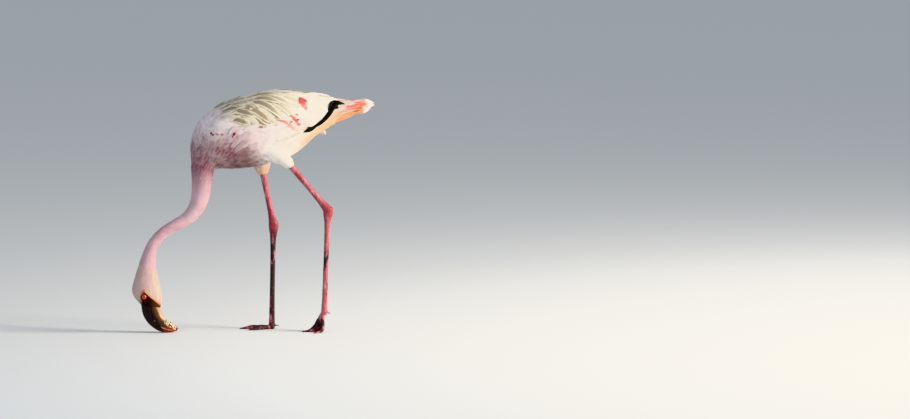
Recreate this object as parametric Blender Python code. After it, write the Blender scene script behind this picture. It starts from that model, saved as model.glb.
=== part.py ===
"""Lesser flamingo feeding with its head down, in mid-step: a still, life-size bird in named solids.

Metres, +Z up. The bird faces -X, so its left side is towards -Y. It stands on the floor, z = 0, on
the flat right foot, the front of the left toes and the bend of its bill, which feeds upside down.
The origin is on the floor below the middle of the bird's bounding box.
"""

from math import asin, copysign, cos, pi, radians, sin

import bmesh
import bpy
from mathutils import Vector

GAP = 0.0003  # clearance between solids that meet
ROUNDNESS = 2.15  # exponent of the body's superelliptic sections
DORSAL_SKEW = 0.07  # how much wider a section is towards the back and crown

# Sections of the body in its mid-plane: (dorsal x, z), (ventral x, z), half width.
# They run from the tail's tip over the back, down the breast and on along the neck.
TAIL_SECTIONS = [
    ((0.2432, 0.4598), (0.2385, 0.4405), 0.0070),
    ((0.2300, 0.4640), (0.2300, 0.4350), 0.0155),
    ((0.2120, 0.4618), (0.2120, 0.4322), 0.0190),
    ((0.1900, 0.4626), (0.1900, 0.4220), 0.0220),
    ((0.1700, 0.4664), (0.1700, 0.4122), 0.0245),
    ((0.1500, 0.4706), (0.1490, 0.4005), 0.0270),
]
TRUNK_SECTIONS = [
    ((0.1270, 0.4744), (0.1260, 0.3852), 0.0315),
    ((0.1000, 0.4788), (0.1040, 0.3645), 0.040),
    ((0.0700, 0.4829), (0.0760, 0.3462), 0.048),
    ((0.0350, 0.4818), (0.0400, 0.3342), 0.054),
    ((0.0000, 0.4745), (0.0030, 0.3276), 0.058),
    ((-0.0410, 0.4640), (-0.0310, 0.3252), 0.059),
    ((-0.0780, 0.4475), (-0.0530, 0.3252), 0.056),
    ((-0.0998, 0.4285), (-0.0635, 0.3260), 0.052),
    ((-0.1135, 0.4065), (-0.0684, 0.3256), 0.046),
    ((-0.1203, 0.3810), (-0.0708, 0.3232), 0.039),
    ((-0.1211, 0.3540), (-0.0725, 0.3185), 0.031),
]
# Stations of the neck and head: mid-line x, z, half depth, half width.
NECK_LINE = [
    ((-0.0965, 0.3140), 0.0220, 0.0235),
    ((-0.0982, 0.2880), 0.0197, 0.0195),
    ((-0.1025, 0.2640), 0.0180, 0.0170),
    ((-0.1130, 0.2425), 0.0160, 0.0150),
    ((-0.1310, 0.2255), 0.0133, 0.0130),
    ((-0.1560, 0.2125), 0.0117, 0.0118),
    ((-0.1770, 0.1990), 0.0114, 0.0114),
    ((-0.1940, 0.1795), 0.0121, 0.0114),
    ((-0.2030, 0.1565), 0.0143, 0.0122),
    ((-0.2070, 0.1355), 0.0178, 0.0138),
]
HEAD_SECTIONS = [
    ((-0.2310, 0.1175), (-0.1860, 0.1120), 0.0160),
    ((-0.2360, 0.1010), (-0.1820, 0.0970), 0.0182),
    ((-0.2388, 0.0872), (-0.1796, 0.0835), 0.0190),
    ((-0.2355, 0.0738), (-0.1785, 0.0690), 0.0182),
    ((-0.2250, 0.0610), (-0.1790, 0.0555), 0.0152),
    ((-0.2205, 0.0570), (-0.1815, 0.0515), 0.0135),
]

# Where the body is parted, as places between the sections above.
TAIL_END = len(TAIL_SECTIONS) - 0.75
TRUNK_END = len(TAIL_SECTIONS + TRUNK_SECTIONS) - 0.5
HEAD_START = TRUNK_END + 10.0
NECK_CUTS = [TRUNK_END, TRUNK_END + 3.1, TRUNK_END + 5.4, TRUNK_END + 8.2, HEAD_START]
NECK_NAMES = ["neck_base", "neck_lower", "neck_middle", "neck_upper"]

EYE_PLACE = (-0.2158, 0.0728)  # x, z
EYE_RADIUS = 0.0060
EYE_SHOWS = 0.0018  # how far the eyeball stands out of the head

# The bill, from its base to its tip: culmen x, z; underside x, z; half width; gape's share of the depth.
BILL_SECTIONS = [
    ((-0.2200, 0.0564), (-0.1818, 0.0508), 0.0128, 0.50),
    ((-0.2178, 0.0405), (-0.1790, 0.0400), 0.0118, 0.46),
    ((-0.2115, 0.0262), (-0.1735, 0.0315), 0.0118, 0.40),
    ((-0.2000, 0.0130), (-0.1665, 0.0255), 0.0116, 0.36),
    ((-0.1840, 0.0030), (-0.1585, 0.0195), 0.0098, 0.35),
    ((-0.1660, -0.0007), (-0.1515, 0.0135), 0.0062, 0.40),
    ((-0.1490, 0.0030), (-0.1455, 0.0085), 0.0024, 0.50),
]
GAPE_INSET = 0.0009  # the upper bill is a lid, narrower than the lower one
UPPER_FULLNESS, LOWER_FULLNESS = 2.0, 2.7  # the lower bill is the boxier of the two

# The folded wing lies on the trunk and tail. (place along the body, share of the depth at the lower edge)
WING_EDGE = [(13.3, 0.44), (12.6, 0.58), (11.0, 0.60), (9.0, 0.60), (7.6, 0.562), (7.2, 0.545), (6.84, 0.569),
             (6.5, 0.638), (6.07, 0.674), (5.63, 0.614), (5.18, 0.540), (4.75, 0.400), (4.5, 0.20)]
WING_TOP = [(13.3, 0.30), (12.0, 0.12), (9.0, 0.035), (6.0, 0.03), (4.5, 0.06)]
WING_LIFT = 0.0009  # keeps the wing clear of the trunk's facets
WING_THICKNESS = 0.0060
WING_RIM = 0.0010
# The black flight feathers show below the wing's edge and behind its rear end:
# (place along the body, share of the depth at their upper edge and at their lower edge)
PRIMARIES = [(7.30, 0.562, 0.622), (7.10, 0.564, 0.678), (6.85, 0.592, 0.692), (6.50, 0.660, 0.704),
             (6.07, 0.695, 0.742), (5.63, 0.640, 0.705), (5.18, 0.565, 0.655), (4.85, 0.465, 0.590),
             (4.60, 0.350, 0.540), (4.40, 0.235, 0.490), (4.15, 0.150, 0.420), (3.80, 0.120, 0.280),
             (3.45, 0.125, 0.210)]
PRIMARY_THICKNESS = 0.0020

# Legs: mid-points of the cuff's lower end, the ankle and the base of the toes.
TOE_BASE_HEIGHT = 0.0072
LEFT_LEG = {
    "side": "left",
    "thigh_root": Vector((0.034, -0.0275, 0.366)),
    "cuff": Vector((0.0785, -0.0330, 0.3320)),
    "ankle": Vector((0.1515, -0.0310, 0.2445)),
    "toe_base": Vector((0.1440, -0.0300, 0.0410)),
    "toe_out": radians(4),
    "outward": -1,
    "raised": True,
}
RIGHT_LEG = {
    "side": "right",
    "thigh_root": Vector((0.0215, 0.0275, 0.362)),
    "cuff": Vector((0.0285, 0.0330, 0.3120)),
    "ankle": Vector((0.0490, 0.0305, 0.2105)),
    "toe_base": Vector((0.0450, 0.0290, TOE_BASE_HEIGHT)),
    "toe_out": radians(6),
    "outward": 1,
    "raised": False,
}
THIGH_RADII = [(0.0, 0.026, 0.0195), (0.45, 0.0215, 0.0165), (0.80, 0.0145, 0.0115), (1.0, 0.0092, 0.0085)]
# Bare leg: (share of the shank or tarsus, fore-and-aft radius, sideways radius, bulge to the rear)
SHANK_RADII = [(0.0, 0.0062, 0.0058, 0.0), (0.35, 0.0056, 0.0050, 0.0), (0.75, 0.0060, 0.0052, 0.0),
               (0.92, 0.0080, 0.0066, 0.0006), (1.0, 0.0096, 0.0078, 0.0016)]
TARSUS_RADII = [(0.0, 0.0096, 0.0078, 0.0016), (0.05, 0.0088, 0.0074, 0.0012), (0.13, 0.0062, 0.0056, 0.0),
                (0.35, 0.0051, 0.0043, 0.0), (0.75, 0.0052, 0.0043, 0.0), (0.93, 0.0057, 0.0052, 0.0),
                (1.0, 0.0063, 0.0063, 0.0)]
# Inner, middle and outer toe: (angle from the middle one, length to the claw's tip)
TOES = [(radians(-30), 0.052), (0.0, 0.064), (radians(28), 0.059)]
TOE_RADII = [(0.0, 0.0052), (0.30, 0.0040), (0.36, 0.0044), (0.60, 0.0033), (0.66, 0.0036), (0.84, 0.0026),
             (0.88, 0.0021), (1.0, 0.0008)]
CLAW_SHARE = 0.88  # the web stops and the claw starts here
WEB_THICKNESS = 0.0014
WEB_HEIGHT = 0.0005  # of its underside, above the sole of the toes
WEB_NOTCH = 0.14  # how far the web's front edge curves in between two toes
HIND_TOE_LENGTH = 0.0105
HIND_TOE_RADIUS = 0.0022
# Joint under the tarsus: (share of its height from the top, fore-and-aft radius, sideways radius)
KNUCKLE_RADII = [(0.0, 0.0063, 0.0063), (0.5, 0.0066, 0.0072), (1.0, 0.0048, 0.0060)]
# Raised left toes next to the tarsus: (angle of the toe, slope of its steep part, length of that part)
STEEP = [(radians(-30), radians(62), 0.027), (0.0, radians(66), 0.026), (radians(28), radians(86), 0.024)]

MATERIALS = {  # colour, roughness
    "plumage": ((0.86, 0.66, 0.62), 0.75),
    "neck_plumage": ((0.84, 0.58, 0.58), 0.75),
    "wing_plumage": ((0.88, 0.78, 0.72), 0.7),
    "tail_plumage": ((0.82, 0.42, 0.38), 0.7),
    "flight_feathers": ((0.015, 0.013, 0.013), 0.45),
    "bill_horn": ((0.10, 0.012, 0.012), 0.35),
    "eye": ((0.75, 0.07, 0.01), 0.08),
    "leg_skin": ((0.50, 0.055, 0.065), 0.5),
}


def clear_scene():
    for old in list(bpy.data.objects):
        bpy.data.objects.remove(old, do_unlink=True)


def material(name):
    """The Principled material of this name, made the first time it is asked for."""
    if name in bpy.data.materials:
        return bpy.data.materials[name]
    colour, roughness = MATERIALS[name]
    made = bpy.data.materials.new(name)
    made.use_nodes = True
    shader = made.node_tree.nodes["Principled BSDF"]
    shader.inputs["Base Color"].default_value = (*colour, 1.0)
    shader.inputs["Roughness"].default_value = roughness
    shader.inputs["Metallic"].default_value = 0.0
    return made


def add_object(name, mesh, material_name=None, cutter=False):
    """A mesh object in the bird's collection, or a hidden cutter in the other one."""
    made = bpy.data.objects.new(name, mesh)
    (CUTTERS if cutter else BIRD).objects.link(made)
    made.parent = FRAME
    if cutter:
        made.hide_render = True
        made.display_type = "WIRE"
    else:
        mesh.materials.append(material(material_name))
        mesh.shade_smooth()
        mesh.set_sharp_from_angle(angle=radians(40))
    return made


def smooth_value(stops, at):
    """Cubic interpolation through (place, value, ...) stops; values may be numbers or vectors."""
    stops = sorted(stops, key=lambda stop: stop[0])
    places = [stop[0] for stop in stops]
    at = min(max(at, places[0]), places[-1])
    i = max(k for k in range(len(stops) - 1) if places[k] <= at)
    before, after = stops[max(i - 1, 0)], stops[min(i + 2, len(stops) - 1)]
    here, there = stops[i], stops[i + 1]
    span = there[0] - here[0]
    u = (at - here[0]) / span
    found = []
    for a, b, c, d in zip(before[1:], here[1:], there[1:], after[1:]):
        slope_b = (c - a) * (span / max(there[0] - before[0], 1e-9))
        slope_c = (d - b) * (span / max(after[0] - here[0], 1e-9))
        found.append(b * (2 * u**3 - 3 * u**2 + 1) + slope_b * (u**3 - 2 * u**2 + u)
                     + c * (3 * u**2 - 2 * u**3) + slope_c * (u**3 - u**2))
    return found


def neck_sections():
    """The neck's stations as dorsal point, ventral point and half width, square to its mid-line."""
    points = [Vector(place) for place, _, _ in NECK_LINE]
    found = []
    for i, (_, depth, width) in enumerate(NECK_LINE):
        along = (points[min(i + 1, len(points) - 1)] - points[max(i - 1, 0)]).normalized()
        across = Vector((along.y, -along.x))  # towards the nape
        found.append((points[i] + across * depth, points[i] - across * depth, width))
    return found


def body_stops():
    """The numbered sections of the whole body, from the tail's tip to the base of the bill."""
    sections = TAIL_SECTIONS + TRUNK_SECTIONS + neck_sections() + HEAD_SECTIONS
    return [(i, Vector(top), Vector(low), width) for i, (top, low, width) in enumerate(sections)]


def power(value, exponent):
    return copysign(abs(value) ** exponent, value)


def body_point(place, angle, grow=0.0):
    """A point of the body's surface. angle runs from 0 on the back to pi on the belly, over the left side."""
    dorsal, ventral, width = smooth_value(BODY, place)
    middle, half = (dorsal + ventral) / 2, (dorsal - ventral) / 2
    along = power(cos(angle), 2 / ROUNDNESS)
    aside = power(sin(angle), 2 / ROUNDNESS) * (1 + DORSAL_SKEW * cos(angle))
    centre = middle + half.normalized() * (half.length + grow) * along
    return Vector((centre.x, -(width + grow) * aside, centre.y))


def body_normal(place, angle):
    """Outward normal of the body's surface, by differences."""
    step = 0.02
    lengthwise = body_point(place + step, angle) - body_point(place - step, angle)
    round_it = body_point(place, angle + step) - body_point(place, angle - step)
    normal = lengthwise.cross(round_it).normalized()
    inside = body_point(place, angle) - (body_point(place, 0) + body_point(place, pi)) / 2
    return normal if normal.dot(inside) > 0 else -normal


def body_ring(place, sides, grow=0.0):
    return [body_point(place, 2 * pi * k / sides, grow) for k in range(sides)]


def place_list(start, end, steps):
    return [start + (end - start) * k / steps for k in range(steps + 1)]


def loft(rings):
    """A closed mesh through rings of equally many points, with flat end caps."""
    mesh = bpy.data.meshes.new("loft")
    built = bmesh.new()
    grid = [[built.verts.new(point) for point in ring] for ring in rings]
    sides = len(rings[0])
    for lower, upper in zip(grid, grid[1:]):
        for k in range(sides):
            built.faces.new((lower[k], lower[(k + 1) % sides], upper[(k + 1) % sides], upper[k]))
    built.faces.new(list(reversed(grid[0])))
    built.faces.new(grid[-1])
    bmesh.ops.recalc_face_normals(built, faces=built.faces)
    built.to_mesh(mesh)
    built.free()
    return mesh


def boolean(target, other, operation):
    cut = target.modifiers.new(f"{operation.lower()}_{other.name}", "BOOLEAN")
    cut.operation = operation
    cut.solver = "EXACT"
    cut.use_self = operation == "UNION"  # the toes share their first section
    cut.object = other


def body_piece(name, start, end, steps, sides, material_name):
    """One length of the body, parted from its neighbours by about half a gap at each end."""
    step = 0.1
    length = (body_point(start + step, pi / 2) - body_point(start, pi / 2)).length
    half_gap = 0.65 * step * GAP / length
    trimmed = place_list(start + half_gap, end - half_gap, steps)
    return add_object(name, loft([body_ring(t, sides) for t in trimmed]), material_name)


def build_body():
    """Tail, trunk, four lengths of neck and the head, which it returns."""
    body_piece("tail", 0, TAIL_END, 11, 16, "tail_plumage")
    body_piece("trunk", TAIL_END, TRUNK_END, 22, 22, "plumage")
    for name, start, end in zip(NECK_NAMES, NECK_CUTS, NECK_CUTS[1:]):
        body_piece(name, start, end, 7, 14, "neck_plumage")
    return body_piece("head", HEAD_START, len(BODY) - 1, 10, 18, "neck_plumage")


def head_place(target):
    """The place along the head whose section passes a point of the mid-plane."""
    def distance(place):
        dorsal, ventral, _ = smooth_value(BODY, place)
        line = (ventral - dorsal).normalized()
        off = target - dorsal
        return (off - line * off.dot(line)).length

    return min(place_list(HEAD_START, len(BODY) - 1, 200), key=distance)


def ball_mesh(radius):
    mesh = bpy.data.meshes.new("ball")
    ball = bmesh.new()
    bmesh.ops.create_uvsphere(ball, u_segments=12, v_segments=8, radius=radius)
    ball.to_mesh(mesh)
    ball.free()
    return mesh


def build_eyes(head):
    """Eyeballs set into sockets in the sides of the head."""
    target = Vector(EYE_PLACE)
    place = head_place(target)
    dorsal, ventral, _ = smooth_value(BODY, place)
    share = (dorsal - target).length / (dorsal - ventral).length
    for side, sign in (("left", 1), ("right", -1)):
        angle = sign * angle_at(share)
        normal = body_normal(place, angle)
        centre = body_point(place, angle) - normal * (EYE_RADIUS - EYE_SHOWS)
        eye = add_object(f"eye_{side}", ball_mesh(EYE_RADIUS), "eye")
        socket = add_object(f"socket_{side}", ball_mesh(EYE_RADIUS + 1.5 * GAP), cutter=True)
        for piece in (eye, socket):
            piece.location = centre
            piece.rotation_euler = normal.to_track_quat("Z", "Y").to_euler()
        boolean(head, socket, "DIFFERENCE")


def bill_ring(place, upper, sides=9):
    """A section of one half of the bill, flat along the gape and round outside."""
    stops = [(i, Vector(c), Vector(g), width, gape) for i, (c, g, width, gape) in enumerate(BILL_SECTIONS)]
    culmen, under, width, gape_share = smooth_value(stops, place)
    gape = culmen.lerp(under, gape_share)
    across = (culmen - under).normalized()
    half_gap = across * 0.55 * GAP
    if upper:
        edge, crest, half_width, fullness = gape + half_gap, culmen, width - GAPE_INSET, UPPER_FULLNESS
    else:
        edge, crest, half_width, fullness = gape - half_gap, under, width, LOWER_FULLNESS
    depth = crest - edge
    ring = []
    for k in range(sides + 1):
        angle = pi * k / sides
        rise = power(sin(angle), 2 / fullness)
        point = edge + depth * rise
        height = max(point.y, 0.0)
        ring.append(Vector((point.x, -half_width * power(cos(angle), 2 / fullness), height)))
    return ring


def build_bill():
    """The lid-like upper bill and the deep lower one. Its bend rests on the floor, on a small flat."""
    last = len(BILL_SECTIONS) - 1
    for name, upper in (("bill_upper", True), ("bill_lower", False)):
        add_object(name, loft([bill_ring(t, upper) for t in place_list(0.0, last, 14)]), "bill_horn")


def angle_at(share):
    """The section angle at a share of the depth from the back, 0, to the belly, 1."""
    return pi / 2 - asin(max(-1.0, min(1.0, power(1 - 2 * share, ROUNDNESS / 2))))


def shell(places, top_share, low_share, thickness, name, sign, material_name, across=8):
    """A thin solid that lies on the body between two shares of its depth, with thin rims."""
    outer, inner = [], []
    for i, place in enumerate(places):
        along = i / (len(places) - 1)
        top, low = angle_at(top_share(place)), angle_at(low_share(place))
        for_outer, for_inner = [], []
        for k in range(across + 1):
            share = k / across
            angle = sign * (top + (low - top) * share)
            surface, normal = body_point(place, angle), body_normal(place, angle)
            swell = max(sin(pi * share) * sin(pi * along), 0.0) ** 0.5
            for_inner.append(surface + normal * WING_LIFT)
            for_outer.append(surface + normal * (WING_LIFT + WING_RIM + (thickness - WING_RIM) * swell))
        outer.append(for_outer)
        inner.append(list(reversed(for_inner)))
    rings = [a + b for a, b in zip(outer, inner)]
    return add_object(name, loft(rings), material_name)


def wing_low(place):
    return smooth_value(WING_EDGE, place)[0]


def wing_top(place):
    return smooth_value(WING_TOP, place)[0]


def primary_top(place):
    return smooth_value(PRIMARIES, place)[0]


def primary_low(place):
    return smooth_value(PRIMARIES, place)[1]


def build_wings():
    """Folded wings, and along the rear edge of each the black flight feathers."""
    front, rear = WING_EDGE[0][0], WING_EDGE[-1][0]
    wing_places = [rear + (front - rear) * share**1.4 for share in place_list(1, 0, 19)]
    places = place_list(PRIMARIES[0][0], PRIMARIES[-1][0], 15)
    for side, sign in (("left", 1), ("right", -1)):
        shell(wing_places, wing_top, wing_low, WING_THICKNESS, f"wing_{side}", sign, "wing_plumage")
        shell(places, primary_top, primary_low, PRIMARY_THICKNESS, f"primaries_{side}", sign,
              "flight_feathers", across=3)


def limb_ring(centre, along, fore_radius, side_radius, bulge, sides):
    """An oval section square to a limb. The bulge swells its rear, towards +X."""
    aside = Vector((0, 1, 0))
    fore = aside.cross(along).normalized()
    if fore.x > 0:
        fore = -fore
    aside = along.cross(fore).normalized()
    ring = []
    for k in range(sides):
        angle = 2 * pi * k / sides
        reach = fore_radius + (bulge * (1 - cos(angle)) / 2)
        ring.append(centre + fore * cos(angle) * reach + aside * sin(angle) * side_radius)
    return ring


def limb(start, end, radii, steps, sides, lean_start=None, lean_end=None):
    """Rings of a straight limb. Its end sections can lean, to meet the next limb in one plane."""
    along = (end - start).normalized()
    rings = []
    for share in steps:
        fore_radius, side_radius, *more = smooth_value(radii, share)
        direction = along
        if lean_end and share > 0.9:
            direction = along.lerp(lean_end, (share - 0.9) / 0.1).normalized()
        if lean_start and share < 0.05:
            direction = along.lerp(lean_start, 1 - share / 0.05).normalized()
        bulge = more[0] if more else 0.0
        rings.append(limb_ring(start.lerp(end, share), direction, fore_radius, side_radius, bulge, sides))
    return rings


def build_leg(leg, trunk_cutter):
    """Feathered thigh, bare shank and tarsus of one leg."""
    side, cuff, ankle, toe_base = leg["side"], leg["cuff"], leg["ankle"], leg["toe_base"]
    shank_way = (ankle - cuff).normalized()
    tarsus_way = (toe_base - ankle).normalized()
    joint_way = (shank_way + tarsus_way).normalized()
    thigh_end = cuff - shank_way * GAP
    thigh_rings = limb(leg["thigh_root"], thigh_end, THIGH_RADII, place_list(0, 1, 8), 18, lean_end=shank_way)
    thigh = add_object(f"thigh_{side}", loft(thigh_rings), "plumage")
    boolean(thigh, trunk_cutter, "DIFFERENCE")
    shank_steps = [0, 0.2, 0.4, 0.6, 0.75, 0.84, 0.9, 0.95, 1.0]
    shank = limb(cuff, ankle - joint_way * GAP / 2, SHANK_RADII, shank_steps, 14, lean_end=joint_way)
    add_object(f"shank_{side}", loft(shank), "leg_skin")
    tarsus_steps = [0, 0.025, 0.05, 0.09, 0.13, 0.2, 0.35, 0.55, 0.75, 0.87, 0.93, 1.0]
    foot_top = toe_base - tarsus_way * 0.0045
    tarsus = limb(ankle + joint_way * GAP / 2, foot_top, TARSUS_RADII, tarsus_steps, 14, lean_start=joint_way)
    add_object(f"tarsus_{side}", loft(tarsus), "leg_skin")
    build_foot(leg, foot_top, tarsus_way)


def toe_drop(distance, leg, angle):
    """(forward, height, slope) of the sole. Raised toes go down steeply, bend, and then lie level."""
    if not leg["raised"]:
        return distance, 0.0, 0.0
    base_height = leg["toe_base"].z - TOE_BASE_HEIGHT
    first_slope, steep_length = smooth_value(STEEP, angle)
    steep = min(distance, steep_length)
    forward, height = steep * cos(first_slope), base_height - steep * sin(first_slope)
    bend_radius = (base_height - steep_length * sin(first_slope)) / (1 - cos(first_slope))
    turned = min(max(distance - steep_length, 0) / bend_radius, first_slope)
    slope = first_slope - turned
    forward += bend_radius * (sin(first_slope) - sin(slope))
    height -= bend_radius * (cos(slope) - cos(first_slope))
    level = max(distance - steep_length - bend_radius * first_slope, 0)
    return forward + level, max(height, 0.0), slope


def foot_point(leg, forward, aside, height, angle=0.0):
    """A point of the foot laid out flat, moved to where the raised or level sole carries it."""
    ahead, sole, slope = toe_drop(max(forward, 0.0), leg, angle)
    ahead += min(forward, 0.0) + height * sin(slope)
    up = sole + height * cos(slope)
    turn = leg["toe_out"]
    base = leg["toe_base"]
    x = aside * sin(turn) - ahead * cos(turn)
    y = leg["outward"] * (aside * cos(turn) + ahead * sin(turn))
    return Vector((base.x + x, base.y + y, up))


def toe_mesh(leg, angle, length):
    """A toe with its knuckles and claw, flat underneath."""
    rings = []
    for share in place_list(0, 1, 12):
        radius = smooth_value(TOE_RADII, share)[0]
        centre = radius * 0.78
        if share > CLAW_SHARE:
            centre = radius
        ring = []
        for k in range(8):
            turn = 2 * pi * (k + 0.5) / 8
            aside = length * share * sin(angle) + radius * sin(turn) * cos(angle)
            forward = length * share * cos(angle) - radius * sin(turn) * sin(angle)
            height = max(centre + radius * cos(turn), 0.0)
            ring.append(foot_point(leg, forward, aside, height, angle))
        rings.append(ring)
    return loft(rings)


def web_mesh(leg):
    """The web between the front toes: a thin sheet whose edge curves in between them."""
    columns = []
    for (angle_a, length_a), (angle_b, length_b) in zip(TOES, TOES[1:]):
        for k in range(4):
            share = k / 4
            notch = 1 - WEB_NOTCH * sin(pi * share)
            length = length_a + (length_b - length_a) * share
            columns.append((angle_a + (angle_b - angle_a) * share, length * notch))
    columns.append(TOES[-1])
    rings = []
    for angle, length in columns:
        reach = length * (CLAW_SHARE - 0.03)
        distances = place_list(0.003, reach, 7)
        way = Vector((cos(angle), sin(angle)))
        top = [foot_point(leg, *(way * d), WEB_HEIGHT + WEB_THICKNESS, angle) for d in distances]
        low = [foot_point(leg, *(way * d), WEB_HEIGHT, angle) for d in reversed(distances)]
        rings.append(top + low)
    return loft(rings)


def build_foot(leg, foot_top, tarsus_way):
    """Three webbed front toes joined at a knuckle under the tarsus, and the small hind toe."""
    side = leg["side"]
    meshes = [toe_mesh(leg, angle, length) for angle, length in TOES]
    foot = add_object(f"foot_{side}", meshes[1], "leg_skin")
    others = [("inner_toe", meshes[0]), ("outer_toe", meshes[2]), ("web", web_mesh(leg))]
    others.append(("knuckle", knuckle_mesh(leg, foot_top + tarsus_way * GAP, tarsus_way)))
    others.append(("hind_toe", hind_toe_mesh(leg)))
    for name, mesh in others:
        boolean(foot, add_object(f"{name}_{side}", mesh, cutter=True), "UNION")


def knuckle_mesh(leg, top, tarsus_way):
    """The joint under the tarsus. On a level foot its underside is a flat heel pad on the floor."""
    bottom = foot_point(leg, 0.0, 0.0, 0.0)
    sole_way = tarsus_way if leg["raised"] else Vector((0.0, 0.0, -1.0))
    rings = []
    for share, fore_radius, side_radius in KNUCKLE_RADII:
        way = tarsus_way.lerp(sole_way, share)
        rings.append(limb_ring(top.lerp(bottom, share), way, fore_radius, side_radius, 0.0, 14))
    return loft(rings)


def hind_toe_mesh(leg):
    """The hind toe, small and set a little higher than the others."""
    start = leg["toe_base"] + Vector((0.0030, 0.0, 0.0012))
    way = Vector((0.78, 0.0, -0.62)) if leg["raised"] else Vector((0.97, 0.0, -0.22))
    rings = []
    for share in place_list(0, 1, 5):
        radius = HIND_TOE_RADIUS * (1 - 0.75 * share**1.6)
        rings.append(limb_ring(start + way * HIND_TOE_LENGTH * share, way, radius, radius, 0.0, 8))
    return loft(rings)


def build_legs():
    """Both legs. The thighs are cut where they go into the trunk."""
    places = place_list(TAIL_END - 0.2, TRUNK_END + 0.2, 22)
    cutter = add_object("trunk_cutter", loft([body_ring(t, 22, 1.6 * GAP) for t in places]), cutter=True)
    for leg in (LEFT_LEG, RIGHT_LEG):
        build_leg(leg, cutter)


def centre_over_origin():
    """Moves the bird so that the origin lies below the middle of its bounding box."""
    bpy.context.view_layer.update()
    graph = bpy.context.evaluated_depsgraph_get()
    corners = []
    for piece in BIRD.objects:
        shown = piece.evaluated_get(graph)
        corners += [shown.matrix_world @ vertex.co for vertex in shown.data.vertices]
    for axis in (0, 1):
        values = [corner[axis] for corner in corners]
        FRAME.location[axis] = -(min(values) + max(values)) / 2


clear_scene()
BIRD = bpy.data.collections.new("lesser_flamingo")
CUTTERS = bpy.data.collections.new("cutters")
bpy.context.scene.collection.children.link(BIRD)
bpy.context.scene.collection.children.link(CUTTERS)
FRAME = bpy.data.objects.new("bird_frame", None)
bpy.context.scene.collection.objects.link(FRAME)
BODY = body_stops()

build_eyes(build_body())
build_bill()
build_wings()
build_legs()
centre_over_origin()
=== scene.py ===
import heapq
import math
from contextlib import contextmanager

import bmesh
import bpy
import numpy as np
from mathutils import Matrix, Vector
from mathutils.bvhtree import BVHTree


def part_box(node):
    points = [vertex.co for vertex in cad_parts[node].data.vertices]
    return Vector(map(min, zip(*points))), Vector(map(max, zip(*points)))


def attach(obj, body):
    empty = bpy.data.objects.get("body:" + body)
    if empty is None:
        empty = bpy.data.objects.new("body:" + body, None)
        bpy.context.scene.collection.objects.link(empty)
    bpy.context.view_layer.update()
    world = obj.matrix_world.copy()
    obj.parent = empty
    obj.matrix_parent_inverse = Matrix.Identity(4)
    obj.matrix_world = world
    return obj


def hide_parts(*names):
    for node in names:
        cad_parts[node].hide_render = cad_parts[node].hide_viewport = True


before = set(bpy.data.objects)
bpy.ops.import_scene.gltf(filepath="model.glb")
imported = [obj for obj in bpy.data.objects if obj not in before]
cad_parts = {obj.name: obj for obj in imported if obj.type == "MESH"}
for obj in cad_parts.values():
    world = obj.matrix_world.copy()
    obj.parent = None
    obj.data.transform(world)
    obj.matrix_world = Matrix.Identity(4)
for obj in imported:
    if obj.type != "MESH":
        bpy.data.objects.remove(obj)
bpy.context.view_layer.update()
bodyY = sum(corner.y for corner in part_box("trunk")) / 2  # the mid-plane of the bird
castReach = 0.15  # rays start this far out, clear of the body
leastIsland = 0.05  # smaller loose shells than this share of the largest are dropped

necks = ["neck_base", "neck_lower", "neck_middle", "neck_upper"]
wings = ["wing_left", "wing_right"]
thighs = ["thigh_left", "thigh_right"]
bareLegs = ["shank_left", "tarsus_left", "foot_left", "shank_right", "tarsus_right", "foot_right"]
bills = ["bill_upper", "bill_lower"]


def tint(*parts):
    # a colour picked on screen, 0 to 255, as the linear values that sockets take
    parts = [part / 255 for part in parts]
    return (*[part / 12.92 if part <= 0.04045 else ((part + 0.055) / 1.055) ** 2.4 for part in parts], 1.0)


plumage = {
    "white": tint(248, 238, 234),
    "blush": tint(240, 220, 222),
    "neckPink": tint(214, 172, 180),
    "neckPale": tint(230, 196, 202),
    "neckStreak": tint(190, 132, 142),
    "headPale": tint(212, 182, 172),
    # painted sunlight: the next cream is laid on the head's rear side, where light falls
    "headCream": tint(248, 232, 206),
    # the next two: the dusky rose of breast and belly, darkened further as painted shade of the underside
    "rose": tint(126, 55, 72),
    "shadedBellyRose": tint(100, 56, 55),
    "crimson": tint(150, 18, 46),
    "scarlet": tint(222, 84, 88),
    "markPink": tint(234, 124, 118),
    # painted shadow: the next colour is a dark line along the wing's lower edge, above the vent
    "seam": tint(156, 124, 96),
    "brown": tint(142, 124, 98),
    "scapularCream": tint(238, 230, 208),
    "wingCream": tint(250, 243, 230),
    "ventCream": tint(250, 238, 218),
    # painted warm light: the next gold lies on the vent's lower edge and the tail's base
    "ventWarmLight": tint(232, 190, 132),
    # painted warm light: the next peach lies on the far thigh
    "farThigh": tint(214, 158, 102),
    "thighCream": tint(250, 242, 234),
    "coral": tint(228, 84, 74),
    "tailPink": tint(240, 160, 146),
    "peach": tint(244, 196, 148),
    "orange": tint(232, 92, 28),
    "loreDark": tint(16, 8, 8),
    "loreRed": tint(44, 18, 14),
    "loreBrown": tint(92, 60, 38),
    "loreFlush": tint(104, 36, 40),
}


# ---- small makers that every piece uses


def newObject(name, mesh, *materials):
    made = bpy.data.objects.new(name, mesh)
    bpy.context.scene.collection.objects.link(made)
    for material in materials:
        mesh.materials.append(material)
    return made


def placePiece(piece, slot, *replaced):
    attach(piece, "root")
    if replaced:
        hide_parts(*replaced)


def newMesh(name, verts, faces=()):
    mesh = bpy.data.meshes.new(name)
    mesh.from_pydata([tuple(vert) for vert in verts], [], faces)
    mesh.shade_smooth()
    return mesh


@contextmanager
def editing(mesh):
    shape = bmesh.new()
    shape.from_mesh(mesh)
    yield shape
    shape.to_mesh(mesh)
    shape.free()


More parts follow.
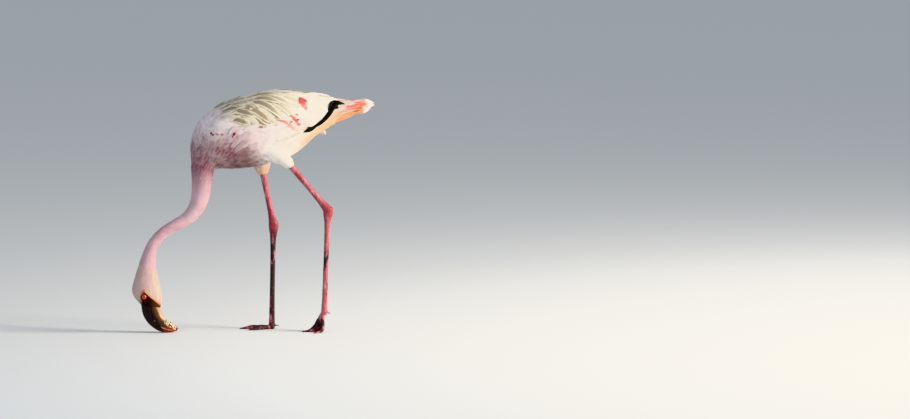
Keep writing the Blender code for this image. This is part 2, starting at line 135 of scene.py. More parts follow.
def circle(count):
    angles = [2 * math.pi * k / count for k in range(count)]
    return [(math.cos(angle), math.sin(angle)) for angle in angles]


def joinRings(shape, rings, closed=False):
    # faces between one ring of points and the next
    for k in range(len(rings) - (not closed)):
        here, there = rings[k], rings[(k + 1) % len(rings)]
        for j in range(len(here)):
            n = (j + 1) % len(here)
            shape.faces.new((here[j], there[j], there[n], here[n]))


def weldedNodes(names):
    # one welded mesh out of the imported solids
    mesh = bpy.data.meshes.new("welded")
    with editing(mesh) as shape:
        for name in names:
            shape.from_mesh(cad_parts[name].data)
        bmesh.ops.remove_doubles(shape, verts=shape.verts, dist=1e-6)
    return mesh


def evaluatedMesh(holder):
    # what the object's modifier makes of it, as a plain mesh
    graph = bpy.context.evaluated_depsgraph_get()
    made = bpy.data.meshes.new_from_object(holder.evaluated_get(graph), depsgraph=graph)
    holder.modifiers.clear()
    return made


def islandsOf(shape):
    islands, seen = [], set()
    for start in shape.verts:
        if start in seen:
            continue
        island, todo = [], [start]
        seen.add(start)
        while todo:
            vert = todo.pop()
            island.append(vert)
            for edge in vert.link_edges:
                other = edge.other_vert(vert)
                if other not in seen:
                    seen.add(other)
                    todo.append(other)
        islands.append(island)
    return islands


def remeshed(names, voxel, relaxSteps):
    # closed, even quads over the named solids, smoothed; only the outer shells are kept
    holder = newObject("remeshHolder", weldedNodes(names))
    remesh = holder.modifiers.new("remesh", "REMESH")
    remesh.mode = "VOXEL"
    remesh.voxel_size = voxel
    made = evaluatedMesh(holder)
    bpy.data.objects.remove(holder, do_unlink=True)
    with editing(made) as shape:
        islands = islandsOf(shape)
        fewest = leastIsland * max(len(island) for island in islands)
        stray = [vert for island in islands if len(island) < fewest for vert in island]
        bmesh.ops.delete(shape, geom=stray, context="VERTS")
    places, edges = meshArrays(made)
    return made, relaxed(places, edges, relaxSteps), edges


def readVectors(items, name):
    values = np.empty(len(items) * 3, np.float32)
    items.foreach_get(name, values)
    return values.reshape(-1, 3).astype(float)


def meshArrays(mesh):
    edges = np.empty(len(mesh.edges) * 2, np.int32)
    mesh.edges.foreach_get("vertices", edges)
    return readVectors(mesh.vertices, "co"), edges.reshape(-1, 2)


def setPlaces(mesh, places):
    mesh.vertices.foreach_set("co", places.astype(np.float32).ravel())
    mesh.update()


def neighbourMean(values, edges):
    count = len(values)
    degree = np.bincount(edges.ravel(), minlength=count).astype(float)
    columns = values.reshape(count, -1)
    means = np.empty_like(columns)
    for k in range(columns.shape[1]):
        total = np.bincount(edges[:, 0], columns[edges[:, 1], k], count)
        total += np.bincount(edges[:, 1], columns[edges[:, 0], k], count)
        means[:, k] = total / np.maximum(degree, 1)
    return means.reshape(values.shape)


def smoothed(values, edges, steps, share=0.5):
    for _ in range(steps):
        values = values + (neighbourMean(values, edges) - values) * share
    return values


def relaxed(places, edges, steps):
    # smooths without the shrinking of plain averaging
    for _ in range(steps):
        places = smoothed(smoothed(places, edges, 1, 0.55), edges, 1, -0.57)
    return places


def writeField(mesh, name, values):
    kind, key = ("FLOAT_VECTOR", "vector") if values.ndim == 2 else ("FLOAT", "value")
    field = mesh.attributes.get(name) or mesh.attributes.new(name, kind, "POINT")
    field.data.foreach_set(key, values.astype(np.float32).ravel())


def ramp(values, low, high):
    share = np.clip((values - low) / (high - low), 0, 1)
    return share * share * (3 - 2 * share)


def fall(values, low, high):
    return 1 - ramp(values, low, high)


def onUnit(vectors):
    return vectors / np.maximum(np.linalg.norm(vectors, axis=1), 1e-9)[:, None]


def onSurface(field, normals):
    return onUnit(field - normals * (field * normals).sum(1)[:, None])


def surfaceTree(mesh):
    return BVHTree.FromPolygons([vert.co.copy() for vert in mesh.vertices],
                                [tuple(polygon.vertices) for polygon in mesh.polygons])


def distancesTo(names, places):
    tree = surfaceTree(weldedNodes(names))
    return np.array([tree.find_nearest(Vector(place))[3] for place in places])


# ---- the skin: one surface for head, neck, trunk, wings, tail, thighs and legs

skinSettings = {
    "voxel": 0.0019,
    "relaxSteps": 14,
    "legVoxel": 0.00112,
    "legRelaxSteps": 5,
    "headDepth": 0.0008,  # how far the coat stands above the skin
    "neckDepth": 0.0012,
    "trunkDepth": 0.0030,
    "wingDepth": 0.0042,
    "tailDepth": 0.0032,
    "thighDepth": 0.0016,
    "thighDraw": 0.0075,
    "creaseSteps": 150,  # smoothing where thigh and flank meet
    "hornDepth": 0.0009,  # how deep the skin lies under the bill's base, and how far it runs on there
    "hornReach": 0.0070,
    "bareTop": (-0.2187, 0.0846),  # corners of the bare dark lore, x and z
    "bareFront": (-0.2222, 0.0560),
    "bareBack": (-0.1900, 0.0600),
    "flushMiddle": (-0.2161, 0.0744),  # middle of the red flush round the eye, x and z
    "unwrapAngle": 66,
}

# lower edge of the scapulars, and of the folded wing above its black edge: x and z
scapularEdge = [(-0.100, 0.450), (-0.075, 0.434), (-0.053, 0.420), (-0.039, 0.412), (0.015, 0.415),
                (0.031, 0.4185), (0.057, 0.424), (0.086, 0.441), (0.104, 0.470), (0.120, 0.500)]
wingEdge = [(-0.090, 0.405), (-0.050, 0.400), (0.000, 0.4125), (0.041, 0.410), (0.095, 0.408),
            (0.114, 0.412), (0.134, 0.4235), (0.1545, 0.445), (0.160, 0.462), (0.170, 0.480)]


def geodesic(places, edges, starts):
    # distance over the surface from the start vertices
    links = [[] for _ in range(len(places))]
    lengths = np.linalg.norm(places[edges[:, 0]] - places[edges[:, 1]], axis=1)
    for (a, b), length in zip(edges.tolist(), lengths.tolist()):
        links[a].append((b, length))
        links[b].append((a, length))
    far = [1e9] * len(places)
    queue = []
    for start in starts:
        far[start] = 0.0
        heapq.heappush(queue, (0.0, int(start)))
    while queue:
        here, vert = heapq.heappop(queue)
        if here > far[vert]:
            continue
        for other, length in links[vert]:
            if here + length < far[other]:
                far[other] = here + length
                heapq.heappush(queue, (far[other], other))
    return np.array(far)


def slopeField(places, edges, normals, heights):
    # direction in which heights grows, along the surface
    step = places[edges[:, 1]] - places[edges[:, 0]]
    rise = heights[edges[:, 1]] - heights[edges[:, 0]]
    pull = step * (rise / np.maximum((step**2).sum(1), 1e-12))[:, None]
    field = np.zeros_like(places)
    for k in range(3):
        for end in (0, 1):
            field[:, k] += np.bincount(edges[:, end], pull[:, k], len(places))
    return onSurface(field, normals)


def edgeHeight(line, x):
    return np.interp(x, *zip(*line))


def buildBodySkin():
    # the bill is taken in, so that the skin runs on under the horn and shows no rim
    names = ["tail", "trunk", *necks, "head", *wings, *thighs, *bills]
    mesh, places, edges = remeshed(names, skinSettings["voxel"], skinSettings["relaxSteps"])
    groups = {"head": ["head"], "neck": necks, "trunk": ["trunk"], "wing": wings, "tail": ["tail"],
              "thigh": thighs, "horn": bills}
    reach = {name: distancesTo(nodes, places) for name, nodes in groups.items()}
    nearest = np.array(list(reach.values())).argmin(axis=0)
    regions = {name: smoothed((nearest == k).astype(float), edges, 2 if name == "horn" else 8)
               for k, name in enumerate(groups)}
    # the thighs run into the flank with no crease
    crease = smoothed(ramp(regions["thigh"] * (1 - regions["thigh"]), 0.02, 0.12), edges, 4)[:, None]
    places = smoothed(places, edges, skinSettings["creaseSteps"], 0.6 * crease)
    # the near thigh's lower front is drawn up into the flank
    x, z = places[:, 0], places[:, 2]
    drawn = ramp(regions["thigh"], 0.1, 0.7) * (places[:, 1] < bodyY) * fall(x, 0.050, 0.080)
    places[:, 2] += smoothed(drawn * fall(z, 0.338, 0.368), edges, 12) * skinSettings["thighDraw"]
    setPlaces(mesh, places)
    depth = sum(regions[name] * skinSettings[name + "Depth"] for name in groups)
    regions["bill"] = reach["horn"]
    regions["thighFar"] = reach["thigh"]
    regions["shank"] = distancesTo(["shank_left", "shank_right"], places)
    depth = np.maximum(depth * ramp(regions["bill"], 0.0, 0.006), regions["horn"] * skinSettings["hornDepth"])
    places = places - readVectors(mesh.vertices, "normal") * smoothed(depth, edges, 2)[:, None]
    setPlaces(mesh, relaxed(places, edges, 2))
    # what lies deep in the bill goes, and the hole is closed inside it
    isDeep = (nearest == list(groups).index("horn")) & (reach["head"] > skinSettings["hornReach"])
    with editing(mesh) as shape:
        bmesh.ops.delete(shape, geom=[vert for vert in shape.verts if isDeep[vert.index]], context="VERTS")
        bmesh.ops.holes_fill(shape, edges=[edge for edge in shape.edges if edge.is_boundary], sides=0)
        bmesh.ops.triangulate(shape, faces=[face for face in shape.faces if len(face.verts) > 4])
    return mesh, *meshArrays(mesh), {name: values[~isDeep] for name, values in regions.items()}


def markFields(mesh, places, edges, regions):
    # the lie of the feathers and the masks of the markings, kept on the skin
    normals = readVectors(mesh.vertices, "normal")
    x, y, z = places[:, 0], places[:, 1] - bodyY, places[:, 2]
    far = smoothed(geodesic(places, edges, np.flatnonzero(regions["bill"] < 0.003)), edges, 40)
    lie = slopeField(places, edges, normals, far)
    onTrunk = 1 - np.clip(regions["neck"] + regions["head"] + regions["thigh"], 0, 1)
    aboveWing = z - edgeHeight(wingEdge, x)
    wing = ramp(aboveWing + 0.012 * ramp(x, 0.085, 0.110), -0.003, 0.003) * ramp(x, -0.060, -0.020)
    throat = fall(x, -0.125, -0.080) * fall(z, 0.325, 0.385)
    belly = fall(z - 0.25 * x, 0.330, 0.392) * ramp(x, -0.095, -0.050) * fall(x, -0.040, 0.052)
    fields = {
        "scapular": ramp(z - edgeHeight(scapularEdge, x), -0.004, 0.004) * ramp(x, -0.092, -0.070) * onTrunk,
        "wing": wing * onTrunk * fall(x, 0.158, 0.170),
        "neck": np.clip(regions["neck"] + regions["head"] + throat, 0, 1),
        "breast": fall(x, -0.075, 0.020) * fall(z, 0.350, 0.414) * ramp(z, 0.255, 0.330),
        "belly": belly * ramp(regions["thighFar"], 0.004, 0.030 + 0.016 * (y < 0)),
        "vent": ramp(x, 0.020, 0.090) * fall(aboveWing, -0.024, -0.006),
        "ruby": np.zeros(len(places)),  # only single crimson feathers have it
    }
    fields["tail"] = ramp(x, 0.145, 0.170) * (1 - fields["wing"])
    # the scapulars sweep rearwards, then down over the flank
    sides = ramp(np.abs(y), 0.006, 0.034)
    pitch = np.radians(8 + 40 * ramp(x, -0.075, 0.040) * (1 - 0.60 * ramp(z, 0.446, 0.480)))
    swept = onSurface(np.stack([np.cos(pitch), np.zeros(len(x)), -np.sin(pitch)], axis=1), normals)
    share = (fields["scapular"] * sides)[:, None]
    lie = lie * (1 - share) + swept * share
    # and the rest of the coat droops or rises by where it is
    droop = np.zeros_like(places)
    droop[:, 2] = -0.20 * fields["wing"] * sides * (1 - fields["scapular"])
    flank = (1 - fields["scapular"]) * (1 - fields["wing"]) * onTrunk
    flank = flank * ramp(x, -0.105, -0.055) * ramp(z, 0.335, 0.365)
    droop[:, 2] += 0.42 * flank * fall(x, 0.060, 0.110)
    droop[:, 2] -= 0.9 * regions["thigh"] * fall(z, 0.320, 0.345)
    lie = onSurface(smoothed(lie + droop, edges, 10), normals)
    writeField(mesh, "lie", onSurface(smoothed(lie, edges, 8), normals))
    writeField(mesh, "outward", onUnit(smoothed(normals, edges, 3)))
    fields = {name: smoothed(values, edges, 2) for name, values in fields.items()}
    masks = {"head": regions["head"], "thigh": smoothed(fall(regions["thighFar"], 0.0, 0.024), edges, 4)}
    for name, values in {**fields, **masks}.items():
        writeField(mesh, name, values)
    return fields


def unwrapSkin(mesh):
    # the skin's own unwrap, which the coat's bake map follows
    holder = newObject("unwrapHolder", mesh)
    mesh.uv_layers.new(name="skinUnwrap")
    bpy.context.view_layer.objects.active = holder
    holder.select_set(True)
    bpy.ops.object.mode_set(mode="EDIT")
    bpy.ops.mesh.select_all(action="SELECT")
    bpy.ops.uv.smart_project(angle_limit=math.radians(skinSettings["unwrapAngle"]), island_margin=0.004)
    bpy.ops.object.mode_set(mode="OBJECT")
    bpy.data.objects.remove(holder, do_unlink=True)


print("skin: remeshing the body")
bodySkin, skinPlaces, skinEdges, skinRegions = buildBodySkin()
skinFields = markFields(bodySkin, skinPlaces, skinEdges, skinRegions)
markNames = [*skinFields, "thigh", "head"]
unwrapSkin(bodySkin)
skinTree = surfaceTree(bodySkin)
print("skin:", len(skinPlaces), "points on the body, unwrapped")


# ---- node trees: values that run through them, and the effects that materials share


class Wire:
    # a value in a node tree, which plain arithmetic carries on
    def __init__(self, tree, socket):
        self.tree, self.socket = tree, socket

    def __add__(self, other):
        return calc("ADD", self, other)

    def __sub__(self, other):
        return calc("SUBTRACT", self, other)

    def __rsub__(self, other):
        return calc("SUBTRACT", other, self)

    def __mul__(self, other):
        return calc("MULTIPLY", self, other)

    def __truediv__(self, other):
        return calc("DIVIDE", self, other)

    def __rtruediv__(self, other):
        return calc("DIVIDE", other, self)

    def __abs__(self):
        return calc("ABSOLUTE", self)

    __radd__, __rmul__ = __add__, __mul__


def link(value, socket):
    if isinstance(value, Wire):
        value.tree.links.new(value.socket, socket)
    else:
        socket.default_value = value


def addNode(tree, kind, inputs=(), **settings):
    # inputs: values or wires in the order of the sockets, or by a socket's name or number
    node = tree.nodes.new(kind)
    for name, value in settings.items():
        setattr(node, name, value)
    for key, value in inputs.items() if isinstance(inputs, dict) else enumerate(inputs):
        link(value, node.inputs[key])
    return node


def wired(tree, kind, inputs=(), output=0, **settings):
    return Wire(tree, addNode(tree, kind, inputs, **settings).outputs[output])


def treeOf(*values):
    return next(value.tree for value in values if isinstance(value, Wire))


def calc(operation, *values, clamp=False):
    return wired(treeOf(*values), "ShaderNodeMath", values, operation=operation, use_clamp=clamp)


def vectorOf(operation, first, second=(0, 0, 0)):
    inputs = {0: first, "Scale" if operation == "SCALE" else 1: second}
    output = "Value" if operation == "LENGTH" else 0
    return wired(first.tree, "ShaderNodeVectorMath", inputs, output, operation=operation)


def rampOf(value, low, high, toLow=0.0, toHigh=1.0):
    inputs = (value, low, high, toLow, toHigh)
    return wired(value.tree, "ShaderNodeMapRange", inputs, interpolation_type="SMOOTHSTEP")


def mixOf(share, first, second, kind="MIX"):
    inputs = {0: share, 6: first, 7: second}
    return wired(treeOf(share, first), "ShaderNodeMix", inputs, 2, data_type="RGBA", blend_type=kind)


def stretched(place, scale):
    return wired(place.tree, "ShaderNodeMapping", {"Vector": place, "Scale": scale})


def noiseOf(place, scale, detail=3.0, rough=0.55, stretch=None):
    place = place if stretch is None else stretched(place, stretch)
    inputs = {"Vector": place, "Scale": scale, "Detail": detail, "Roughness": rough}
    return wired(place.tree, "ShaderNodeTexNoise", inputs, "Fac")


def splitOf(vector):
    node = addNode(vector.tree, "ShaderNodeSeparateXYZ", [vector])
    return [Wire(vector.tree, output) for output in node.outputs]


def fieldOf(tree, name):
    return wired(tree, "ShaderNodeAttribute", output="Fac", attribute_name=name)


def newGroup(family, name, inputs, outputs):
    # inputs: the kind of each socket, or the number that it starts from
    tree = bpy.data.node_groups.new(name, family + "NodeTree")
    for way, sockets in (("INPUT", inputs), ("OUTPUT", outputs)):
        for title, kind in sockets.items():
            isNumber = isinstance(kind, float)
            socketType = "NodeSocket" + ("Float" if isNumber else kind)
            socket = tree.interface.new_socket(title, in_out=way, socket_type=socketType)
            if isNumber:
                socket.default_value = kind
    given = tree.nodes.new("NodeGroupInput").outputs
    return tree, {title: Wire(tree, given[title]) for title in inputs}


def useGroup(tree, group, **values):
    node = tree.nodes.new("ShaderNodeGroup")
    node.node_tree = group
    for name, value in values.items():
        link(value, node.inputs[name])
    return [Wire(tree, output) for output in node.outputs]


finishNames = {"specular": "Specular IOR Level", "coat": "Coat Weight", "coatRoughness": "Coat Roughness",
               "sheen": "Sheen Weight", "sheenRoughness": "Sheen Roughness"}


def newMaterial(name, roughness, **finish):
    # returns the material, its shader and the place in the object's own coordinates
    material = bpy.data.materials.new(name)
    material.use_nodes = True
    shader = material.node_tree.nodes["Principled BSDF"]
    shader.inputs["Roughness"].default_value = roughness
    for title, value in finish.items():
        shader.inputs[finishNames[title]].default_value = value
    return material, shader, wired(material.node_tree, "ShaderNodeTexCoord", output="Object")


def paint(shader, colour, height=None, strength=0.0, distance=0.0):
    link(colour, shader.inputs["Base Color"])
    if height is not None:
        inputs = {"Strength": strength, "Distance": distance, "Height": height}
        link(wired(colour.tree, "ShaderNodeBump", inputs), shader.inputs["Normal"])


def speckled(name, roughness, scale, colours, strength, distance=0.0002, **finish):
    # horn or skin in two finely mixed colours
    material, shader, place = newMaterial(name, roughness, **finish)
    grain = noiseOf(place, scale)
    paint(shader, mixOf(rampOf(grain, 0.3, 0.7), *colours), grain, strength, distance)
    return material


# marks of the folded wing: x and z of both ends, radius, strength
wingMarks = {
    "crimson": [
        ((-0.0835, 0.4005), (-0.0830, 0.4008), 0.0024, 0.80),
        ((-0.0755, 0.4008), (-0.0640, 0.4012), 0.0013, 0.60),
        ((-0.0560, 0.4110), (-0.0555, 0.4112), 0.0018, 0.65),
        ((-0.0412, 0.4012), (-0.0440, 0.3968), 0.0024, 1.00),
        ((-0.1010, 0.3950), (-0.0960, 0.3900), 0.0018, 0.35),
    ],
    "pink": [
        ((0.0950, 0.4640), (0.0995, 0.4575), 0.0060, 0.90),
        ((0.0995, 0.4575), (0.1050, 0.4480), 0.0036, 0.80),
        ((0.0750, 0.4350), (0.0822, 0.4270), 0.0034, 0.95),
        ((0.0822, 0.4270), (0.0900, 0.4165), 0.0028, 0.90),
        ((0.0520, 0.4275), (0.0600, 0.4238), 0.0027, 0.75),
        ((0.0610, 0.4228), (0.0690, 0.4190), 0.0026, 0.50),
        ((0.0690, 0.4180), (0.0790, 0.4100), 0.0040, 0.42),
        ((0.0830, 0.4080), (0.0860, 0.4050), 0.0022, 0.35),
    ],
    # a painted shadow line along the wing's lower edge, above the vent
    "seam": [
        ((0.0930, 0.4010), (0.0700, 0.3912), 0.0022, 0.55),
        ((0.0700, 0.3912), (0.0440, 0.3835), 0.0018, 0.45),
    ],
}


def capsuleMark(x, z, wobble, mark):
    # 1 within a streak that runs from one end to the other
    (ax, az), (bx, bz), radius, strength = mark
    dx, dz = bx - ax, bz - az
    offX, offZ = x - ax, z - az
    share = calc("DIVIDE", offX * dx + offZ * dz, dx * dx + dz * dz, clamp=True)
    awayX, awayZ = offX - share * dx, offZ - share * dz
    reach = calc("SQRT", awayX * awayX + awayZ * awayZ) + wobble
    return rampOf(reach, radius * 0.45, radius * 1.15, strength, 0.0)


def marksOf(x, z, wobble, name):
    total, *rest = [capsuleMark(x, z, wobble, mark) for mark in wingMarks[name]]
    for inside in rest:
        total = calc("MAXIMUM", total, inside)
    return total


def besideLine(x, z, start, end):
    # metres to the left of the way from start to end, seen with +x to the right and +z up
    length = math.hypot(end[0] - start[0], end[1] - start[1])
    nx, nz = -(end[1] - start[1]) / length, (end[0] - start[0]) / length
    return x * nx + z * nz - (start[0] * nx + start[1] * nz)


def buildMarksGroup():
    inputs = {"Place": "Vector", "Tone": 0.5, "Along": 0.6, "Across": 0.5}
    tree, given = newGroup("Shader", "plumageMarks", inputs, {"Colour": "Color", "Bare": "Float"})
    place, tone, along, across = given.values()
    x, y, z = splitOf(place)
    offShaft = abs(across - 0.5)
    broad, fine = noiseOf(place, 26.0, 2.0), noiseOf(place, 150.0)
    colour = mixOf(rampOf(broad, 0.30, 0.72), plumage["white"], plumage["blush"])
    # neck and head
    head = fieldOf(tree, "head")
    neckColour = mixOf(rampOf(broad, 0.30, 0.70), plumage["neckPink"], plumage["neckPale"])
    hanging = noiseOf(place, 210.0, 3.0, 0.6, (1.0, 1.0, 0.16))
    neckColour = mixOf(head * rampOf(hanging, 0.38, 0.54, 0.30, 1.0), neckColour, plumage["headPale"])
    # painted sunlight: cream towards the head's rear side
    sunlitCream = head * rampOf(x, -0.216, -0.184) * rampOf(hanging, 0.42, 0.56, 0.15, 1.0)
    neckColour = mixOf(sunlitCream, neckColour, plumage["headCream"])
    streaky = rampOf(tone, 0.62, 0.98) * rampOf(z, 0.30, 0.12, 0.10, 0.28)
    neckColour = mixOf(streaky, neckColour, plumage["neckStreak"])
    colour = mixOf(fieldOf(tree, "neck"), colour, neckColour)
    # the dusky rose of breast and belly, in soft streaks along the feathers, its colours darkened further as
    # painted shade of the underside
    rosy = fieldOf(tree, "breast") * rampOf(tone * 0.45 + broad * 0.75, 0.25, 1.05, 0.55, 1.0)
    rosy = rosy * rampOf(offShaft, 0.05, 0.45, 1.0, 0.72)
    colour = mixOf(rosy, colour, plumage["rose"])
    bellied = fieldOf(tree, "belly") * rampOf(tone, 0.0, 1.0, 0.76, 0.96)
    colour = mixOf(bellied, colour, plumage["shadedBellyRose"])
    # cream vent with a lower edge painted gold as warm light, and the thighs
    under = z - (x - 0.085) * 0.85 + noiseOf(place, 120.0, 3.0, 0.6, (0.3, 1.0, 0.75)) * 0.030
    warmLitEdge = rampOf(under, 0.404, 0.374) * rampOf(x, 0.075, 0.115)
    ventColour = mixOf(warmLitEdge * 0.75, plumage["ventCream"], plumage["ventWarmLight"])
    colour = mixOf(fieldOf(tree, "vent"), colour, ventColour)
    # painted warm light: the far thigh turns peach
    farThighLitShare = rampOf(y, bodyY - 0.002, bodyY + 0.008) * rampOf(z, 0.362, 0.330)
    thighColour = mixOf(farThighLitShare * 0.85, plumage["thighCream"], plumage["farThigh"])
    colour = mixOf(fieldOf(tree, "thigh") * 0.9, colour, thighColour)
    # cream wing, and scapulars with brown centres and cream borders
    wingColour = mixOf(rampOf(offShaft, 0.30, 0.50), plumage["wingCream"], plumage["white"])
    colour = mixOf(fieldOf(tree, "wing"), colour, wingColour)
    rear = rampOf(x, 0.005, 0.078)
    narrowing = rampOf(along, 0.70, 1.0, 0.0, 0.22) + rear * 0.13
    centre = rampOf(offShaft + ((fine - 0.5) * 0.22 + narrowing), 0.20, 0.47, 1.0, 0.0)
    browner = centre * rampOf(tone, 0.15, 0.90, 0.20, 0.92) * rampOf(rear, 0.0, 1.0, 1.0, 0.55)
    browner = browner * rampOf(along, 0.05, 0.30, 0.7, 1.0)
    scapularColour = mixOf(browner, plumage["scapularCream"], plumage["brown"])
    colour = mixOf(fieldOf(tree, "scapular"), colour, scapularColour)
    # coral tail
    coralShare = fieldOf(tree, "tail") * rampOf(tone + fine, 0.6, 1.2, 0.30, 1.0)
    colour = mixOf(coralShare, colour, plumage["tailPink"])
    # crimson and pink marks, and a painted shadow line along the wing's lower edge
    colour = mixOf(fieldOf(tree, "ruby"), colour, mixOf(tone, plumage["scarlet"], plumage["crimson"]))
    wobble = (noiseOf(place, 210.0, 3.0, 0.6, (0.6, 1.0, 1.0)) - 0.5) * 0.0110
    markPink = mixOf(rampOf(fine, 0.35, 0.65), plumage["markPink"], plumage["scarlet"])
    for name, marked in (("seam", plumage["seam"]), ("pink", markPink), ("crimson", plumage["crimson"])):
        colour = mixOf(marksOf(x, z, wobble, name), colour, marked)
    # the bare lore lies to the left of both of its borders; its warm rim lies behind it
    top, front, back = (skinSettings[name] for name in ("bareTop", "bareFront", "bareBack"))
    rearward, forward = besideLine(x, z, back, top), besideLine(x, z, top, front)
    soft = (noiseOf(place, 500.0, 2.0) - 0.5) * 0.0016
    isBare = rampOf(rearward + soft, -0.0005, 0.0007) * rampOf(forward + soft, -0.0008, 0.0010)
    isBare = isBare * rampOf(z, 0.105, 0.095)
    facial = rampOf(z, 0.110, 0.096) * rampOf(z, 0.045, 0.052)
    rim = rampOf(rearward, -0.0085, -0.0010) * rampOf(x, -0.226, -0.214) * facial
    rimShare = rampOf(rearward, -0.0040, 0.0) * rampOf(x, -0.206, -0.186, 0.55, 1.0)
    colour = mixOf(rim * 0.85, colour, mixOf(rimShare, plumage["peach"], plumage["orange"]))
    flushed = rampOf(forward, -0.0085, 0.0) * rampOf(z, 0.093, 0.080) * facial
    flushed = flushed * rampOf(forward, 0.0040, 0.0015)
    colour = mixOf(flushed * 0.80, colour, plumage["loreFlush"])
    # single feathers differ a little, and darken towards their roots
    shade = rampOf(tone, 0.0, 1.0, 0.94, 1.02) * rampOf(along, 0.0, 0.75, 0.92, 1.0)
    grey = wired(tree, "ShaderNodeCombineColor", (shade, shade, shade))
    addNode(tree, "NodeGroupOutput", {"Colour": mixOf(1.0, colour, grey, "MULTIPLY"), "Bare": isBare})
    return tree


def buildBarbGroup():
    # fine slanted barbs on both sides of a feather's shaft
    inputs = {"Along": 0.5, "Across": 0.5, "Count": 40.0}
    tree, given = newGroup("Shader", "featherBarbs", inputs, {"Height": "Float"})
    along, across, count = given.values()
    offShaft = abs(across - 0.5)
    wave = calc("SINE", (along - offShaft * 0.55) * count * (2 * math.pi))
    shaft = rampOf(offShaft, 0.012, 0.045, 1.0, 0.0)
    addNode(tree, "NodeGroupOutput", {"Height": wave * 0.5 + shaft * 2.0})
    return tree


marksGroup = buildMarksGroup()
barbGroup = buildBarbGroup()


def vaneSockets(tree):
    across, along, _ = splitOf(wired(tree, "ShaderNodeUVMap", uv_map="vane"))
    return along, across


def barbsOf(along, across, count):
    return useGroup(along.tree, barbGroup, Along=along, Across=across, Count=count)[0]


def featherMaterial(name, barbCount, strength):
    material, shader, place = newMaterial(name, 0.75, sheen=0.20, sheenRoughness=0.5, specular=0.2)
    tree = place.tree
    along, across = vaneSockets(tree)
    values = {"Place": place, "Tone": fieldOf(tree, "tone"), "Along": along, "Across": across}
    colour, _ = useGroup(tree, marksGroup, **values)
    paint(shader, colour, barbsOf(along, across, barbCount), strength, 0.00015)
    return material


def skinMaterial():
    # the same markings under the coat, and the dark bare lore
    material, shader, place = newMaterial("plumedSkin", 0.7, specular=0.25)
    marked, isBare = useGroup(place.tree, marksGroup, Place=place, Tone=noiseOf(place, 300.0))
    grain = noiseOf(place, 900.0, 4.0)
    x, _, z = splitOf(place)
    dark = mixOf(rampOf(grain, 0.3, 0.7), plumage["loreDark"], plumage["loreRed"])
    dark = mixOf(rampOf(x, -0.208, -0.190) * 0.70, dark, plumage["loreBrown"])
    middleX, middleZ = skinSettings["flushMiddle"]
    eyeReach = abs(x - middleX) + abs(z - middleZ)
    dark = mixOf(rampOf(eyeReach, 0.0130, 0.0060, 0.0, 0.75), dark, plumage["loreFlush"])
    paint(shader, mixOf(isBare, marked, dark), grain, 0.5, 0.0003)
    return material


legSettings = {
    "red": tint(196, 112, 124),
    "deepRed": tint(152, 52, 64),
    "pale": tint(226, 176, 182),
    "mud": tint(38, 32, 34),
    "mudWet": tint(74, 66, 62),
    "scuteHeight": 0.0024,
    "farMudTop": 0.205,  # height where the mud starts on each leg
    "nearMudTop": 0.190,
    "nearJoint": 0.246,  # heights of the two ankle joints
    "farJoint": 0.212,
}


def legMaterial():
    material, shader, place = newMaterial("legSkin", 0.45, specular=0.45, coat=0.12, coatRoughness=0.3)
    x, _, z = splitOf(place)
    nearLeg, farLeg = rampOf(x, 0.075, 0.095), rampOf(x, 0.095, 0.075)
    blotch = noiseOf(place, 55.0, 4.0, 0.6, (1.0, 1.0, 0.5))
    colour = mixOf(rampOf(blotch, 0.35, 0.68), legSettings["red"], legSettings["deepRed"])
    paler = rampOf(noiseOf(place, 90.0, 3.0, 0.6, (1.0, 1.0, 0.4)), 0.48, 0.75, 0.0, 0.8)
    colour = mixOf(paler, colour, legSettings["pale"])
    joints = calc("MAXIMUM", rampOf(abs(z - legSettings["nearJoint"]), 0.030, 0.010) * nearLeg,
                  rampOf(abs(z - legSettings["farJoint"]), 0.030, 0.010) * farLeg)
    colour = mixOf(joints * 0.8, colour, legSettings["deepRed"])
    inputs = {"Vector": stretched(place, (0.8, 0.8, 1.0)), "Scale": 1 / legSettings["scuteHeight"]}
    scutes = wired(place.tree, "ShaderNodeTexVoronoi", inputs, "Distance", feature="DISTANCE_TO_EDGE")
    plates = rampOf(scutes, 0.0, 0.20)
    colour = mixOf(rampOf(plates, 0.0, 1.0, 0.35, 0.0), colour, legSettings["deepRed"])
    # mud: nearly all of the far tarsus, patches on the near one
    farTop, nearTop = legSettings["farMudTop"], legSettings["nearMudTop"]
    streak = noiseOf(place, 46.0, 5.0, 0.62, (1.6, 1.6, 0.75))
    farMud = rampOf(z, farTop, farTop - 0.018) * rampOf(streak, 0.40, 0.47)
    patchy = streak + rampOf(z, 0.12, 0.02, 0.0, 0.09) + rampOf(abs(z - 0.150), 0.024, 0.012, 0.0, 0.10)
    nearMud = rampOf(z, nearTop, nearTop - 0.03) * rampOf(patchy, 0.555, 0.60)
    muddy = farLeg * farMud + (1.0 - farLeg) * nearMud
    wet = rampOf(noiseOf(place, 160.0, 4.0), 0.52, 0.72)
    mudColour = mixOf(wet, legSettings["mud"], legSettings["mudWet"])
    paint(shader, mixOf(muddy * 0.95, colour, mudColour), plates + noiseOf(place, 1500.0) * 0.3, 0.7, 0.0004)
    link(rampOf(muddy, 0.0, 1.0, 0.40, 0.62), shader.inputs["Roughness"])
    return material


featherSoft = featherMaterial("softFeathers", 22.0, 0.30)
featherLong = featherMaterial("longFeathers", 70.0, 0.40)
featherFine = featherMaterial("fineFeathers", 8.0, 0.12)


